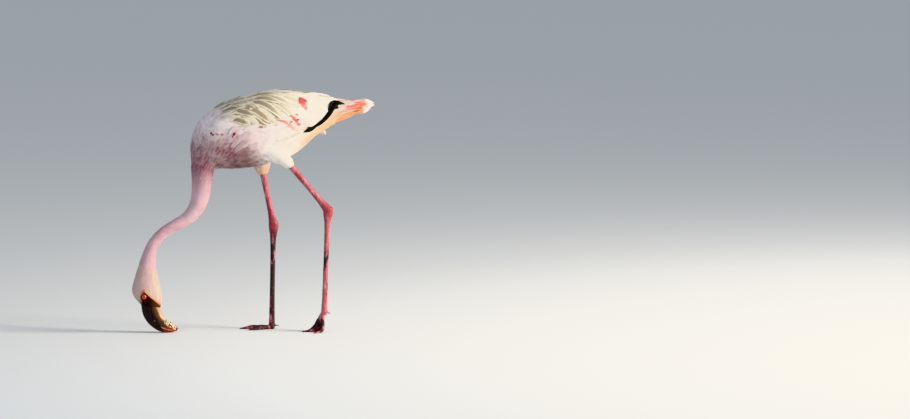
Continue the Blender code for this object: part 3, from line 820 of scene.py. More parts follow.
def buildSkinPiece():
    legs, legPlaces, _ = remeshed(bareLegs, skinSettings["legVoxel"], skinSettings["legRelaxSteps"])
    legPlaces[:, 2] = np.maximum(legPlaces[:, 2], 0.0)
    setPlaces(legs, legPlaces)
    mesh = bpy.data.meshes.new("birdSkin")
    with editing(mesh) as shape:
        shape.from_mesh(bodySkin)
        before = len(shape.faces)
        shape.from_mesh(legs)
        for k, face in enumerate(shape.faces):
            face.material_index = int(k >= before)
    mesh.shade_smooth()
    skin = newObject("birdSkin", mesh, skinMaterial(), legMaterial())
    placePiece(skin, "plumage", "tail", "trunk", *necks, "head", *wings, *thighs, *bareLegs)


buildSkinPiece()
print("skin: one piece")


# ---- vanes: the single feathers that Geometry Nodes lays over the skin

# rows and columns of the blade, how round its tip and wide its base are, how far it may lean, and its
# seed; then the number of loose barb ends on the rim, their length and where they start
vaneShapes = {
    "soft": {"rows": 5, "columns": 4, "round": 0.62, "base": 0.30, "lean": 0.06, "seed": 40,
             "barbs": 9, "barbLength": 0.16, "barbStart": 0.42},
    "fluff": {"rows": 4, "columns": 2, "round": 0.50, "base": 0.40, "lean": 0.08, "seed": 55,
              "barbs": 9, "barbLength": 0.30, "barbStart": 0.30},
    "blade": {"rows": 12, "columns": 4, "round": 0.34, "base": 0.25, "lean": 0.04, "seed": 70, "barbs": 0},
    "lance": {"rows": 12, "columns": 4, "round": 0.62, "base": 0.35, "lean": 0.05, "seed": 80, "barbs": 0},
    "plume": {"rows": 3, "columns": 2, "round": 0.55, "base": 0.45, "lean": 0.06, "seed": 90,
              "barbs": 4, "barbLength": 0.30, "barbStart": 0.40},
}
vaneVariants = 4


def mapVane(mesh, places):
    # places: how far across and along the feather each point lies, both from 0 to 1
    uv = mesh.uv_layers.new(name="vane")
    for loop in mesh.loops:
        uv.data[loop.index].uv = places[loop.vertex_index]


def vaneHalf(along, shape):
    # half width of a feather: narrow quill end, broad middle, round tip
    start = shape["base"] + (1 - shape["base"]) * min(along / 0.35, 1.0) ** 0.8
    tipFrom = 1 - shape["round"]
    tip = 1.0 if along < tipFrom else math.sqrt(max(1 - ((along - tipFrom) / shape["round"]) ** 2.2, 0.0))
    return 0.5 * start * tip


def buildVane(kind, variant):
    shape = vaneShapes[kind]
    chance = np.random.default_rng(shape["seed"] + variant)
    lean = chance.uniform(-shape["lean"], shape["lean"])
    rows, columns = shape["rows"], shape["columns"]
    points, faces = [], []  # points are (across, along) with across from -0.5 to 0.5

    def rimPoint(side, away, at):
        return side * away + lean * at**2, at

    for k in range(rows + 1):
        along = 1 - (1 - k / rows) ** 1.35
        half = max(vaneHalf(along, shape), 0.014)
        for j in range(columns + 1):
            u = 2 * j / columns - 1
            notch = 1 - 0.05 * chance.random() * (abs(u) == 1)
            points.append((u * half * notch + lean * along**2, along))
    for k in range(rows):
        for j in range(columns):
            a = k * (columns + 1) + j
            faces.append((a, a + 1, a + columns + 2, a + columns + 1))
    for side in (-1, 1):
        for k in range(shape["barbs"]):
            share = (k + 0.5) / shape["barbs"]
            at = shape["barbStart"] + (0.985 - shape["barbStart"]) * share
            reach = shape["barbLength"] * chance.uniform(0.55, 1.1)
            spread = 0.42 * (1 - share) + 0.10
            before, after = at - 0.055, at + 0.03
            low = rimPoint(side, max(vaneHalf(before, shape) - 0.02, 0.0), before)
            high = rimPoint(side, max(vaneHalf(min(after, 1.0), shape) - 0.02, 0.0), after)
            tipAway = vaneHalf(at, shape) + reach * spread * 1.1
            tip = (side * tipAway + lean * at**2, at + reach * (1 - 0.4 * spread))
            first = len(points)
            points += [low, tip, high]
            faces.append((first, first + 1, first + 2)[::side])
    mesh = newMesh(f"{kind}Vane{variant}", [(x, y, 0.0) for x, y in points], faces)
    mapVane(mesh, [(min(max(x + 0.5, 0.0), 1.0), min(max(y, 0.0), 1.0)) for x, y in points])
    writeField(mesh, "along", np.array([y for _, y in points]))
    writeField(mesh, "across", np.array([x for x, _ in points]))
    writeField(mesh, "rise", np.array([1 - min(abs(x) * 2, 1) ** 2 for x, _ in points]))
    return mesh


def vaneCollection(kind):
    group = bpy.data.collections.new(kind + "Vanes")
    for variant in range(vaneVariants):
        group.objects.link(bpy.data.objects.new(f"{kind}{variant}", buildVane(kind, variant)))
    return group


vanes = {kind: vaneCollection(kind) for kind in vaneShapes}


def attributeOf(tree, name, kind="FLOAT"):
    return wired(tree, "GeometryNodeInputNamedAttribute", {"Name": name}, "Attribute", data_type=kind)


def endTree(geometry, finish):
    made = wired(geometry.tree, "GeometryNodeSetMaterial", {"Geometry": geometry, "Material": finish})
    addNode(geometry.tree, "NodeGroupOutput", [made])
    return geometry.tree


def buildCoatTree(name, scattered):
    # lays vanes from their roots along the lie of the coat, tips over roots
    lengths = ["Spacing", "Length", "Width", "Size Spread", "Turn Spread", "Base Lift", "Tip Lift", "Camber",
               "Ruffle"]
    inputs = {"Geometry": "Geometry", "Roots": "Object", "Vanes": "Collection",
              **{title: "Float" for title in lengths}, "Steps": "Int", "Seed": "Int", "Finish": "Material"}
    tree, given = newGroup("Geometry", name, inputs, {"Geometry": "Geometry"})

    def field(name, kind="FLOAT"):
        return attributeOf(tree, name, kind)

    def store(geometry, name, value, kind="FLOAT"):
        inputs = {"Geometry": geometry, "Name": name, "Value": value}
        return wired(tree, "GeometryNodeStoreNamedAttribute", inputs, data_type=kind, domain="POINT")

    def chance(low, high, shift, kind="FLOAT"):
        # shift keeps the draws of one coat apart
        inputs = {"Seed": given["Seed"] + float(shift)}
        node = addNode(tree, "FunctionNodeRandomValue", inputs, data_type=kind)
        pair = [socket for socket in node.inputs if socket.name in ("Min", "Max") and socket.enabled]
        link(low, pair[0])
        link(high, pair[1])
        return Wire(tree, next(socket for socket in node.outputs if socket.enabled))

    def either(spread, shift):
        return chance(spread * -1.0, spread, shift)

    def onSkin(name):
        inputs = {"Mesh": given["Geometry"], "Value": field(name, "FLOAT_VECTOR")}
        found = wired(tree, "GeometryNodeSampleNearestSurface", inputs, "Value", data_type="FLOAT_VECTOR")
        return vectorOf("NORMALIZE", found)

    def nearestTo(place):
        inputs = {0: given["Geometry"], "Sample Position": place}
        return wired(tree, "GeometryNodeProximity", inputs, "Position", target_element="FACES")

    def moveTo(geometry, place):
        return wired(tree, "GeometryNodeSetPosition", {"Geometry": geometry, "Position": place})

    def beyond(way, length):
        return vectorOf("ADD", place, vectorOf("SCALE", way, length))

    def combed():
        # the way a feather lies where it is, turned by its own small angle
        outward = onSkin("outward")
        inputs = {"Vector": onSkin("lie"), "Axis": outward, "Angle": field("swerve")}
        return wired(tree, "ShaderNodeVectorRotate", inputs, rotation_type="AXIS_ANGLE"), outward

    place = wired(tree, "GeometryNodeInputPosition")
    if scattered:
        inputs = {"Mesh": given["Geometry"], "Distance Min": given["Spacing"],
                  "Density Max": 4.0 / (given["Spacing"] * given["Spacing"]),
                  "Density Factor": field("coatMask"), "Seed": given["Seed"]}
        kind = "GeometryNodeDistributePointsOnFaces"
        points = wired(tree, kind, inputs, "Points", distribute_method="POISSON")
        points = store(points, "tone", chance(0.0, 1.0, 1))
        points = store(points, "rootMap", field("skinUnwrap", "FLOAT_VECTOR"), "FLOAT_VECTOR")
    else:
        known = wired(tree, "GeometryNodeObjectInfo", [given["Roots"]], "Geometry")
        points = wired(tree, "GeometryNodeMeshToPoints", [known])
    points = store(points, "size", field("coatScale") * (1.0 + either(given["Size Spread"], 3)))
    points = store(points, "swerve", either(given["Turn Spread"], 2))
    points = store(points, "rootPlace", place, "FLOAT_VECTOR")
    inputs = {"Collection": given["Vanes"], "Separate Children": True, "Reset Children": True}
    pick = wired(tree, "GeometryNodeCollectionInfo", inputs)
    inputs = {"Points": points, "Instance": pick, "Pick Instance": True,
              "Instance Index": chance(0, 11, 4, "INT")}
    real = wired(tree, "GeometryNodeRealizeInstances", [wired(tree, "GeometryNodeInstanceOnPoints", inputs)])

    # every point of a vane walks from its root over the skin, as far as it is along the vane
    walkIn, walkOut = (addNode(tree, "GeometryNodeRepeat" + end) for end in ("Input", "Output"))
    walkIn.pair_with_output(walkOut)
    link(given["Steps"], walkIn.inputs["Iterations"])
    link(moveTo(real, field("rootPlace", "FLOAT_VECTOR")), walkIn.inputs["Geometry"])
    way, _ = combed()
    stride = field("along") * (given["Length"] * field("coatReach")) * field("size") / given["Steps"]
    walked = moveTo(Wire(tree, walkIn.outputs["Geometry"]), nearestTo(beyond(way, stride)))
    link(walked, walkOut.inputs["Geometry"])
    # then it steps aside by its place across the vane, and rises
    way, outward = combed()
    offset = field("across") * given["Width"] * field("size")
    aside = beyond(vectorOf("CROSS_PRODUCT", way, outward), offset)
    spreadOut = moveTo(Wire(tree, walkOut.outputs["Geometry"]), nearestTo(aside))
    along = field("along")
    lift = given["Base Lift"] + along * given["Tip Lift"] * field("size")
    lift = lift + field("rise") * (0.3 + along * 0.7) * given["Camber"]
    lift = lift + (0.35 + along) * (given["Ruffle"] * field("tone"))
    outward = onSkin("outward")
    raised = moveTo(spreadOut, beyond(outward, lift))
    return endTree(store(raised, "softNormal", outward, "FLOAT_VECTOR"), given["Finish"])


scatterTree = buildCoatTree("scatterFeathers", True)
layTree = buildCoatTree("layFeathers", False)
tuftPatch = 0.003  # a tuft's side on the bake map
leastFacing = -0.02  # a facet whose normal agrees less than this with the skin's lies upside down
leastShading = 0.25  # and one that agrees less than this with its corners' normals is folded


def runNodes(piece, tree, values):
    # the object's mesh becomes what the node tree makes of it
    modifier = piece.modifiers.new("nodes", "NODES")
    modifier.node_group = tree
    for item in tree.interface.items_tree:
        if item.in_out == "INPUT" and item.name in values:
            modifier[item.identifier] = values[item.name]
    source = piece.data
    piece.data = evaluatedMesh(piece)
    bpy.data.meshes.remove(source)
    return piece.data


def writeBakeMap(mesh, roots):
    # every tuft is a small patch at its root's place on the skin's unwrap; roots: that place for each point
    vertexOf = np.empty(len(mesh.loops), np.int32)
    mesh.loops.foreach_get("vertex_index", vertexOf)
    local = np.empty(len(mesh.loops) * 2, np.float32)
    mesh.uv_layers["vane"].data.foreach_get("uv", local)
    patch = roots[vertexOf, :2] + (local.reshape(-1, 2) - 0.5) * tuftPatch
    mesh.uv_layers.new(name="OFBake")
    mesh.uv_layers["OFBake"].data.foreach_set("uv", patch.astype(np.float32).ravel())


def softenNormals(mesh, share):
    # shading that leans towards the skin's own, so that small feathers read as one soft coat
    own = readVectors(mesh.vertices, "normal")
    skinward = readVectors(mesh.attributes["softNormal"].data, "vector")
    share = share * ramp((own * skinward).sum(1), 0.1, 0.4)[:, None]  # a vane that turns under keeps its own
    mesh.normals_split_custom_set_from_vertices(onUnit(own * (1 - share) + skinward * share).tolist())


def dropFolded(mesh):
    # facets of a vane that lie upside down on the skin, or whose corners shade away from them
    with editing(mesh) as shape:
        bmesh.ops.triangulate(shape, faces=shape.faces)
        outward = shape.verts.layers.float_vector["softNormal"]
        for _ in range(2):
            shape.normal_update()
            folded = [face for face in shape.faces
                      if face.normal.dot(face.verts[0][outward]) < leastFacing
                      or min(face.normal.dot(vert.normal) for vert in face.verts) < leastShading]
            bmesh.ops.delete(shape, geom=folded, context="FACES")


# vane, material, slot, how far the shading leans towards the skin's, spacing, length and width; then the
# spread of size and turn, lift of the base and the tip, camber and ruffle, steps of the walk and the seed
coatTitles = ("Spacing", "Length", "Width", "Size Spread", "Turn Spread", "Base Lift", "Tip Lift", "Camber",
              "Ruffle", "Steps", "Seed")
coatSettings = {
    "headCoat": ("plume", featherFine, "neck_plumage", 0.88, 0.00110, 0.0074, 0.0020,
                 0.22, 0.13, 0.0001, 0.00018, 0.00004, 0.00010, 3, 11),
    "neckCoat": ("plume", featherFine, "neck_plumage", 0.85, 0.00155, 0.0112, 0.0028,
                 0.22, 0.12, 0.0002, 0.00032, 0.00006, 0.00018, 3, 12),
    "bodyCoat": ("soft", featherSoft, "plumage", 0.75, 0.0042, 0.028, 0.0110,
                 0.24, 0.15, 0.0004, 0.0011, 0.0003, 0.0005, 4, 13),
    "thighCoat": ("fluff", featherSoft, "plumage", 0.50, 0.0026, 0.0150, 0.0070,
                  0.18, 0.18, 0.0002, 0.0012, 0.0003, 0.0005, 3, 14),
    "covertCoat": ("soft", featherLong, "wing_plumage", 0.40, 0.0064, 0.036, 0.0160,
                   0.12, 0.08, 0.0004, 0.0022, 0.0006, 0.0006, 5, 15),
    "flankCoat": ("fluff", featherSoft, "plumage", 0.50, 0.0055, 0.036, 0.0110,
                  0.20, 0.18, 0.0010, 0.0036, 0.0005, 0.0012, 5, 17),
    "tertials": ("blade", featherLong, "wing_plumage", 0.0, 0.0, 0.105, 0.0230,
                 0.04, 0.03, 0.0012, 0.0028, 0.0012, 0.0014, 14, 31),
    "scapulars": ("lance", featherLong, "wing_plumage", 0.0, 0.0, 0.082, 0.0142,
                  0.06, 0.05, 0.0016, 0.0022, 0.0010, 0.0012, 14, 32),
    "crimsonCoverts": ("soft", featherLong, "wing_plumage", 0.0, 0.0, 0.0160, 0.0080,
                       0.10, 0.15, 0.0046, 0.0012, 0.0005, 0.0003, 4, 41),
}


def coatNumbers(name):
    return dict(zip(coatTitles, coatSettings[name][4:]))


def finishCoat(name, mesh, tree, **more):
    # the evaluated feathers as one plain mesh
    kind, finish, slot, soft = coatSettings[name][:4]
    coat = newObject(name, mesh)
    values = {"Vanes": vanes[kind], "Finish": finish, **coatNumbers(name), **more}
    made = runNodes(coat, tree, values)
    dropFolded(made)
    writeBakeMap(made, readVectors(made.attributes["rootMap"].data, "vector"))
    if soft > 0:
        softenNormals(made, soft)
    keep = {"tone", "along", "position", "vane", "OFBake", "custom_normal", "sharp_face", "material_index",
            *markNames}
    for title in [item.name for item in made.attributes if not item.name.startswith(".")]:
        if title not in keep:
            made.attributes.remove(made.attributes[title])
    placePiece(coat, slot)
    print("coat:", name, len(made.polygons), "triangles")


def growCoat(name, mask, scale, reach=1.0):
    mesh = bodySkin.copy()
    for title, values in (("coatMask", mask), ("coatScale", scale), ("coatReach", reach)):
        writeField(mesh, title, np.broadcast_to(values, len(mask)))
    finishCoat(name, mesh, scatterTree)


def growAllCoats():
    regions, fields = skinRegions, skinFields
    x, z = skinPlaces[:, 0], skinPlaces[:, 2]

    def beside(start, end):
        along = np.array(end) - np.array(start)
        along = along / np.linalg.norm(along)
        return (x - start[0]) * -along[1] + (z - start[1]) * along[0]

    top, front, back = (skinSettings[name] for name in ("bareTop", "bareFront", "bareBack"))
    lore = ramp(beside(back, top), -0.0014, 0.0002)
    lore *= ramp(beside(top, front), -0.0014, 0.0006) * fall(z, 0.095, 0.105)
    lore = np.maximum(lore, fall(regions["bill"], 0.0008, 0.0022))
    head = ramp(regions["head"], 0.35, 0.6) * fall(lore, 0.15, 0.6)
    thigh = ramp(regions["thigh"], 0.30, 0.55)
    scapular = ramp(fields["scapular"], 0.4, 0.7)
    wing = ramp(fields["wing"], 0.4, 0.7) * (1 - scapular)
    trunk = ramp(regions["trunk"] + regions["wing"] + regions["tail"], 0.35, 0.60) * (1 - thigh)
    trunk = trunk * fall(x, 0.150, 0.165)
    thigh = thigh * ramp(regions["shank"], 0.0030, 0.0055)
    growCoat("headCoat", head, 0.50 + 0.50 * ramp(regions["bill"], 0.003, 0.040))
    growCoat("neckCoat", ramp(regions["neck"], 0.40, 0.60), 0.80 + 0.70 * ramp(z, 0.150, 0.330))
    body = trunk * (1 - 0.9 * scapular) * (1 - 0.9 * wing)
    growCoat("bodyCoat", body, 0.62 + 0.38 * ramp(x, -0.120, -0.030))
    growCoat("thighCoat", thigh, 0.8 + 0.3 * ramp(z, 0.300, 0.360),
             0.25 + 0.75 * ramp(regions["shank"], 0.003, 0.018))
    growCoat("covertCoat", trunk * np.maximum(wing, scapular), 1.0)
    # loose flank feathers that reach up over the wing's lower edge
    low = z - edgeHeight(wingEdge, x)
    flank = trunk * ramp(low, -0.042, -0.030) * fall(low, -0.012, -0.004)
    growCoat("flankCoat", flank * ramp(x, -0.060, -0.040) * fall(x, 0.060, 0.080), 1.0)


growAllCoats()


# ---- large feathers of the folded wing, each from a chosen root

foldSettings = {
    "scapularRows": 5,  # from the shoulder to the rear
    "scapularColumns": 13,  # from the back down each side
    "scapularStart": -0.076,
    "scapularStep": 0.0300,
    "tertialCount": 9,
    "tertialStart": 0.052,
    "tertialSlope": 0.20,
    "tertialMost": 0.160,
    "wingEnd": 0.1575,  # no tertial reaches further back than this
    "axisHeight": 0.405,  # height from which roots are cast outwards
    "seed": 21,
}


def rootOnSkin(x, angle, side):
    # where a ray from the body's axis leaves the skin; angle from straight up
    start = Vector((x, bodyY, foldSettings["axisHeight"]))
    out = Vector((0, side * math.sin(angle), math.cos(angle)))
    hit, _, face, _ = skinTree.ray_cast(start + out * castReach, -out)
    return hit, face


def unwrapAt(face):
    # the middle of a skin face on the skin's unwrap
    loops = bodySkin.polygons[face].loop_indices
    layer = bodySkin.uv_layers["skinUnwrap"].data
    return sum((layer[k].uv for k in loops), Vector((0.0, 0.0))) / len(loops)


def growLaid(name, roots, **marks):
    # roots: (place, face, tone, size, reach) of each feather; marks are masks that hold for all of them
    places, faces, tones, sizes, reaches = zip(*roots)
    mesh = newMesh(name + "Roots", places)
    for title, values in (("tone", tones), ("coatScale", sizes), ("coatReach", reaches)):
        writeField(mesh, title, np.array(values))
    writeField(mesh, "rootMap", np.array([(*unwrapAt(face), 0.0) for face in faces]))
    nearest = [bodySkin.polygons[face].vertices[0] for face in faces]
    for field in markNames:
        skinValues = np.empty(len(bodySkin.vertices), np.float32)
        bodySkin.attributes[field].data.foreach_get("value", skinValues)
        writeField(mesh, field, np.full(len(roots), marks[field]) if field in marks else skinValues[nearest])
    holder = bpy.data.objects.new(name + "Roots", mesh)
    finishCoat(name, bodySkin.copy(), layTree, Roots=holder)
    bpy.data.objects.remove(holder)


def tertialRoom(x, z):
    # length that a feather from here may have before it crosses the black edge
    length = 0.0
    while length < foldSettings["tertialMost"]:
        length += 0.002
        ahead = x + 0.985 * length
        low = z - foldSettings["tertialSlope"] * length
        if low < edgeHeight(wingEdge, ahead) + 0.0015 or ahead > foldSettings["wingEnd"]:
            break
    return length


def scapularRoots(chance):
    roots = []
    for row in reversed(range(foldSettings["scapularRows"])):
        for side in (-1, 1):
            for column in range(foldSettings["scapularColumns"]):
                x = foldSettings["scapularStart"] + foldSettings["scapularStep"] * (row + 0.5 * (column % 2))
                x += chance.uniform(-0.005, 0.005)
                angle = math.radians(5 + 7.6 * column - 2.5 * row + chance.uniform(-1.2, 1.2))
                hit, face = rootOnSkin(x, angle, side)
                if hit is None or hit.z < edgeHeight(scapularEdge, hit.x) + 0.004:
                    continue
                band = ((column - 2.6 * row) / 2.4) % 1.0  # so that brown and cream run on from row to row
                tone = chance.uniform(0.75, 1.0) if band < 0.52 else chance.uniform(0.0, 0.35)
                tone *= min(max((0.078 - x) / 0.040, 0.15), 1.0)
                size = 0.72 + 0.28 * min(max((x + 0.075) / 0.05, 0), 1) + (0.06 if tone > 0.5 else -0.06)
                above = hit.z - edgeHeight(scapularEdge, hit.x)
                reach = min(max((above + 0.006) / 0.050, 0.38), 1.0)
                roots.append((hit, face, tone, size, reach))
    return roots


def tertialRoots(chance):
    roots = []
    length = coatNumbers("tertials")["Length"]
    for side in (-1, 1):
        for k in range(foldSettings["tertialCount"]):
            share = k / (foldSettings["tertialCount"] - 1)
            for shift, trim in ((0.0, 1.0), (0.026, 1.0), (-0.022, 0.9)):
                x = foldSettings["tertialStart"] + 0.012 * share + shift
                angle = math.radians(10 + 66 * share + chance.uniform(-2, 2))
                hit, face = rootOnSkin(x, angle, side)
                room = 0.0 if hit is None else tertialRoom(hit.x, hit.z) * trim
                if room >= 0.028:
                    tone = chance.uniform(0.2, 0.9)
                    roots.append((hit, face, tone, 1.0 - 0.15 * share, min(room / length, 1.25)))
    return roots


def layFolds():
    chance = np.random.default_rng(foldSettings["seed"])
    scapulars, tertials = scapularRoots(chance), tertialRoots(chance)
    growLaid("tertials", tertials, wing=1.0, scapular=0.0, tail=0.0, vent=0.0)
    growLaid("scapulars", scapulars, scapular=1.0)


# single crimson coverts: x, z, tone from scarlet to crimson, size
rubyFeathers = [
    (-0.0855, 0.4004, 0.9, 0.30), (-0.0435, 0.3985, 1.0, 0.38), (-0.0420, 0.4005, 0.9, 0.30),
    (0.0905, 0.4640, 0.15, 1.00), (0.0930, 0.4590, 0.30, 0.95), (0.0975, 0.4520, 0.10, 0.80),
    (0.0900, 0.4670, 0.05, 0.70), (0.0715, 0.4350, 0.35, 0.75), (0.0760, 0.4300, 0.20, 0.75),
    (0.0810, 0.4230, 0.30, 0.65), (0.0480, 0.4270, 0.10, 0.60), (0.0550, 0.4235, 0.15, 0.60),
    (0.0660, 0.4175, 0.05, 0.70),
]


def layRubies():
    roots = []
    for x, z, tone, size in rubyFeathers:
        for side in (-1, 1):
            start = Vector((x, bodyY + side * castReach, z))
            hit, _, face, _ = skinTree.ray_cast(start, Vector((0, -side, 0)))
            if hit is not None:
                roots.append((hit, face, tone, size, 1.0))
    growLaid("crimsonCoverts", roots, ruby=1.0)


layFolds()
layRubies()


# ---- tail and black flight feathers, laid one by one along the solids' own surface

quillSettings = {
    "rows": 12,
    "tuftPlace": (0.1405, 0.4085),  # x and z of the loose tuft under the vent
    "tuftLength": 0.0180,
    "tuftCount": 9,
    "tuftRows": 6,
    "tuftWidth": 0.0028,
    "tuftCream": 0.25,  # how far the tuft takes the vent's cream
    "tuftSeed": 9,
    "tailSeed": 5,
    "castWidth": 0.12,  # how far out the tail's blades are cast from its axis
    "axisShare": 0.985,  # blades that pass this share of the axis run straight on
    "leastHalf": 0.00025,  # half width of a blade's end
    # where a layer of the tail starts and ends along it, its number of blades, their width and their depth
    "tailLayers": [(0.00, 0.86, 20, 0.0110, 0.0030), (0.22, 0.94, 18, 0.0092, 0.0018),
                   (0.45, 1.00, 18, 0.0076, 0.0008)],
    "stripeSpan": (0.4340, 0.4600),  # heights of the lowest and highest stripe, below the tail's middle
    "stripes": [(0.00, tint(222, 146, 92)), (0.14, tint(238, 172, 110)), (0.26, tint(250, 222, 184)),
                (0.36, tint(196, 100, 80)), (0.46, tint(252, 220, 200)), (0.60, tint(230, 108, 100)),
                (0.74, tint(252, 222, 212)), (0.88, tint(236, 214, 204)), (1.00, tint(196, 178, 164))],
    # colour, strength, and the lowest z, highest z, lowest x and highest x of the tail's own patches
    "tailPatches": [("crimson", 0.75, 0.4380, 0.4450, 0.2020, 0.2150),
                    ("coral", 0.90, 0.4440, 0.4520, 0.1880, 0.2200),
                    ("coral", 0.85, 0.4520, 0.4590, 0.2060, 0.2270),
                    ("scarlet", 0.80, 0.4590, 0.4640, 0.1985, 0.2070)],
    "coreVoxel": 0.0007,
    "coreSink": 0.0030,  # how far the closed core lies inside the blades
    # x and z of four places along each black blade, from its base to its tip, and its width
    "blackBlades": [
        ((0.1340, 0.4190), (0.1200, 0.4100), (0.1080, 0.4085), (0.0968, 0.4128), 0.0078),
        ((0.1340, 0.4170), (0.1210, 0.4085), (0.1100, 0.4055), (0.0978, 0.4062), 0.0078),
        ((0.1320, 0.4160), (0.1220, 0.4080), (0.1120, 0.4040), (0.1020, 0.4025), 0.0062),
        ((0.1040, 0.4090), (0.1230, 0.4120), (0.1420, 0.4245), (0.1560, 0.4420), 0.0062),
        ((0.1140, 0.4080), (0.1310, 0.4140), (0.1490, 0.4295), (0.1622, 0.4455), 0.0060),
        ((0.1300, 0.4160), (0.1440, 0.4275), (0.1560, 0.4430), (0.1640, 0.4590), 0.0080),
        ((0.1380, 0.4230), (0.1500, 0.4340), (0.1600, 0.4470), (0.1690, 0.4560), 0.0076),
        ((0.1400, 0.4250), (0.1500, 0.4380), (0.1545, 0.4500), (0.1575, 0.4610), 0.0074),
        ((0.1480, 0.4380), (0.1560, 0.4460), (0.1640, 0.4495), (0.1725, 0.4480), 0.0070),
        ((0.1500, 0.4540), (0.1600, 0.4600), (0.1720, 0.4588), (0.1857, 0.4534), 0.0042),
        ((0.1500, 0.4500), (0.1590, 0.4560), (0.1680, 0.4570), (0.1765, 0.4545), 0.0052),
    ],
}


def quillOutline(along, tipStart=0.66):
    # half width of a quill feather, from its base to its narrow round tip
    base = min(along / 0.18, 1.0) ** 0.7
    tip = 1.0 if along < tipStart else math.sqrt(max(1 - ((along - tipStart) / (1 - tipStart)) ** 2, 0.0))
    return 0.5 * (0.22 + 0.78 * base) * tip


def bladeGrid(paths):
    # paths: (points, normals, widths, tone) of each feather, all of one length; returns one mesh
    verts, faces, places, tones, roots = [], [], [], [], []
    columns = (-1.0, -0.5, 0.0, 0.5, 1.0)
    for points, normals, widths, tone in paths:
        first = len(verts)
        last = len(points) - 1
        for k, (point, normal, width) in enumerate(zip(points, normals, widths)):
            ahead = (points[min(k + 1, last)] - points[max(k - 1, 0)]).normalized()
            aside = ahead.cross(normal).normalized()
            half = max(quillOutline(k / last) * width, quillSettings["leastHalf"])
            for across in columns:
                verts.append(point + aside * across * half - normal * 0.10 * width * across * across)
                places.append((across * 0.5 + 0.5, k / last))
        for k in range(last):
            for j in range(4):
                a = first + 5 * k + j
                faces.append((a, a + 1, a + 6, a + 5))
        tones += [tone] * (len(verts) - first)
        roots += [unwrapAt(skinTree.find_nearest(points[0])[2])] * (len(verts) - first)
    mesh = newMesh("blades", verts, faces)
    mapVane(mesh, places)
    writeField(mesh, "tone", np.array(tones))
    writeBakeMap(mesh, np.array(roots))
    return mesh


def tailMaterial():
    material, shader, place = newMaterial("tailFeathers", 0.65, sheen=0.2, specular=0.25)
    tree = place.tree
    along, across = vaneSockets(tree)
    tone = fieldOf(tree, "tone")
    x, _, z = splitOf(place)
    offShaft = abs(across - 0.5)
    grain = noiseOf(place, 240.0, 3.0, 0.6, (0.35, 1.0, 1.0))
    # stripes that rise towards the tip, from the under edge to the top
    height = z - (x - 0.190) * 0.50 + (grain * 0.6 + tone * 0.4) * 0.0060
    stripes = addNode(tree, "ShaderNodeValToRGB", [rampOf(height, *quillSettings["stripeSpan"])])
    stripes.color_ramp.interpolation = "B_SPLINE"
    points = stripes.color_ramp.elements
    while len(points) < len(quillSettings["stripes"]):
        points.new(0.5)
    for point, (at, stripe) in zip(points, quillSettings["stripes"]):
        point.position, point.color = at, stripe
    # painted warm light: the tail's base turns gold, like the vent's lower edge
    colour = mixOf(rampOf(x, 0.140, 0.178, 0.75, 0.0), Wire(tree, stripes.outputs[0]), plumage["ventWarmLight"])
    # coral and deep red near the end, and the white fringe of the tip
    for name, share, low, high, left, right in quillSettings["tailPatches"]:
        inside = rampOf(z, low - 0.002, low + 0.002) * rampOf(z, high + 0.002, high - 0.002)
        inside = inside * rampOf(x, left - 0.004, left + 0.003) * rampOf(x, right + 0.003, right - 0.002)
        colour = mixOf(inside * share * rampOf(grain, 0.30, 0.55, 0.45, 1.0), colour, plumage[name])
    colour = mixOf(rampOf(offShaft, 0.34, 0.48, 0.0, 0.55), colour, plumage["scapularCream"])
    ragged = x + (grain * 0.012 + tone * 0.008) - rampOf(z, 0.446, 0.456, 0.0, 0.0085)
    colour = mixOf(rampOf(ragged, 0.2290, 0.2350), colour, plumage["white"])
    colour = mixOf(rampOf(along, 0.93, 0.99, 0.0, 0.7), colour, plumage["white"])
    paint(shader, colour, barbsOf(along, across, 80.0), 0.35, 0.0002)
    return material


def blackMaterial():
    material, shader, place = newMaterial("blackFlightFeathers", 0.6, specular=0.2)
    colour = mixOf(rampOf(noiseOf(place, 260.0), 0.3, 0.8), tint(4, 4, 5), tint(16, 13, 13))
    paint(shader, colour, barbsOf(*vaneSockets(place.tree), 90.0), 0.4, 0.0002)
    return material


def buildVentTuft():
    # a loose tuft of down that hangs under the vent
    chance = np.random.default_rng(quillSettings["tuftSeed"])
    paths = []
    rows = quillSettings["tuftRows"]
    x, z = quillSettings["tuftPlace"]
    for _ in range(quillSettings["tuftCount"]):
        start = Vector((x + chance.uniform(-0.005, 0.004), bodyY + chance.uniform(-0.010, 0.010), z))
        sway = Vector((chance.uniform(-0.10, 0.35), chance.uniform(-0.2, 0.2), -1.0)).normalized()
        length = quillSettings["tuftLength"] * chance.uniform(0.6, 1.0)
        shares = [step / rows for step in range(rows + 1)]
        points = [start + sway * length * share + Vector((0.0025 * share**2, 0, 0)) for share in shares]
        normal = Vector((chance.uniform(-0.5, 0.5), -1 if start.y < bodyY else 1, 0)).normalized()
        paths.append((points, [normal] * len(points), [quillSettings["tuftWidth"]] * len(points), 0.05))
    mesh = bladeGrid(paths)
    for name in markNames:
        writeField(mesh, name, np.full(len(mesh.vertices), quillSettings["tuftCream"] * (name == "vent")))
    placePiece(newObject("ventTuft", mesh, featherSoft), "plumage")


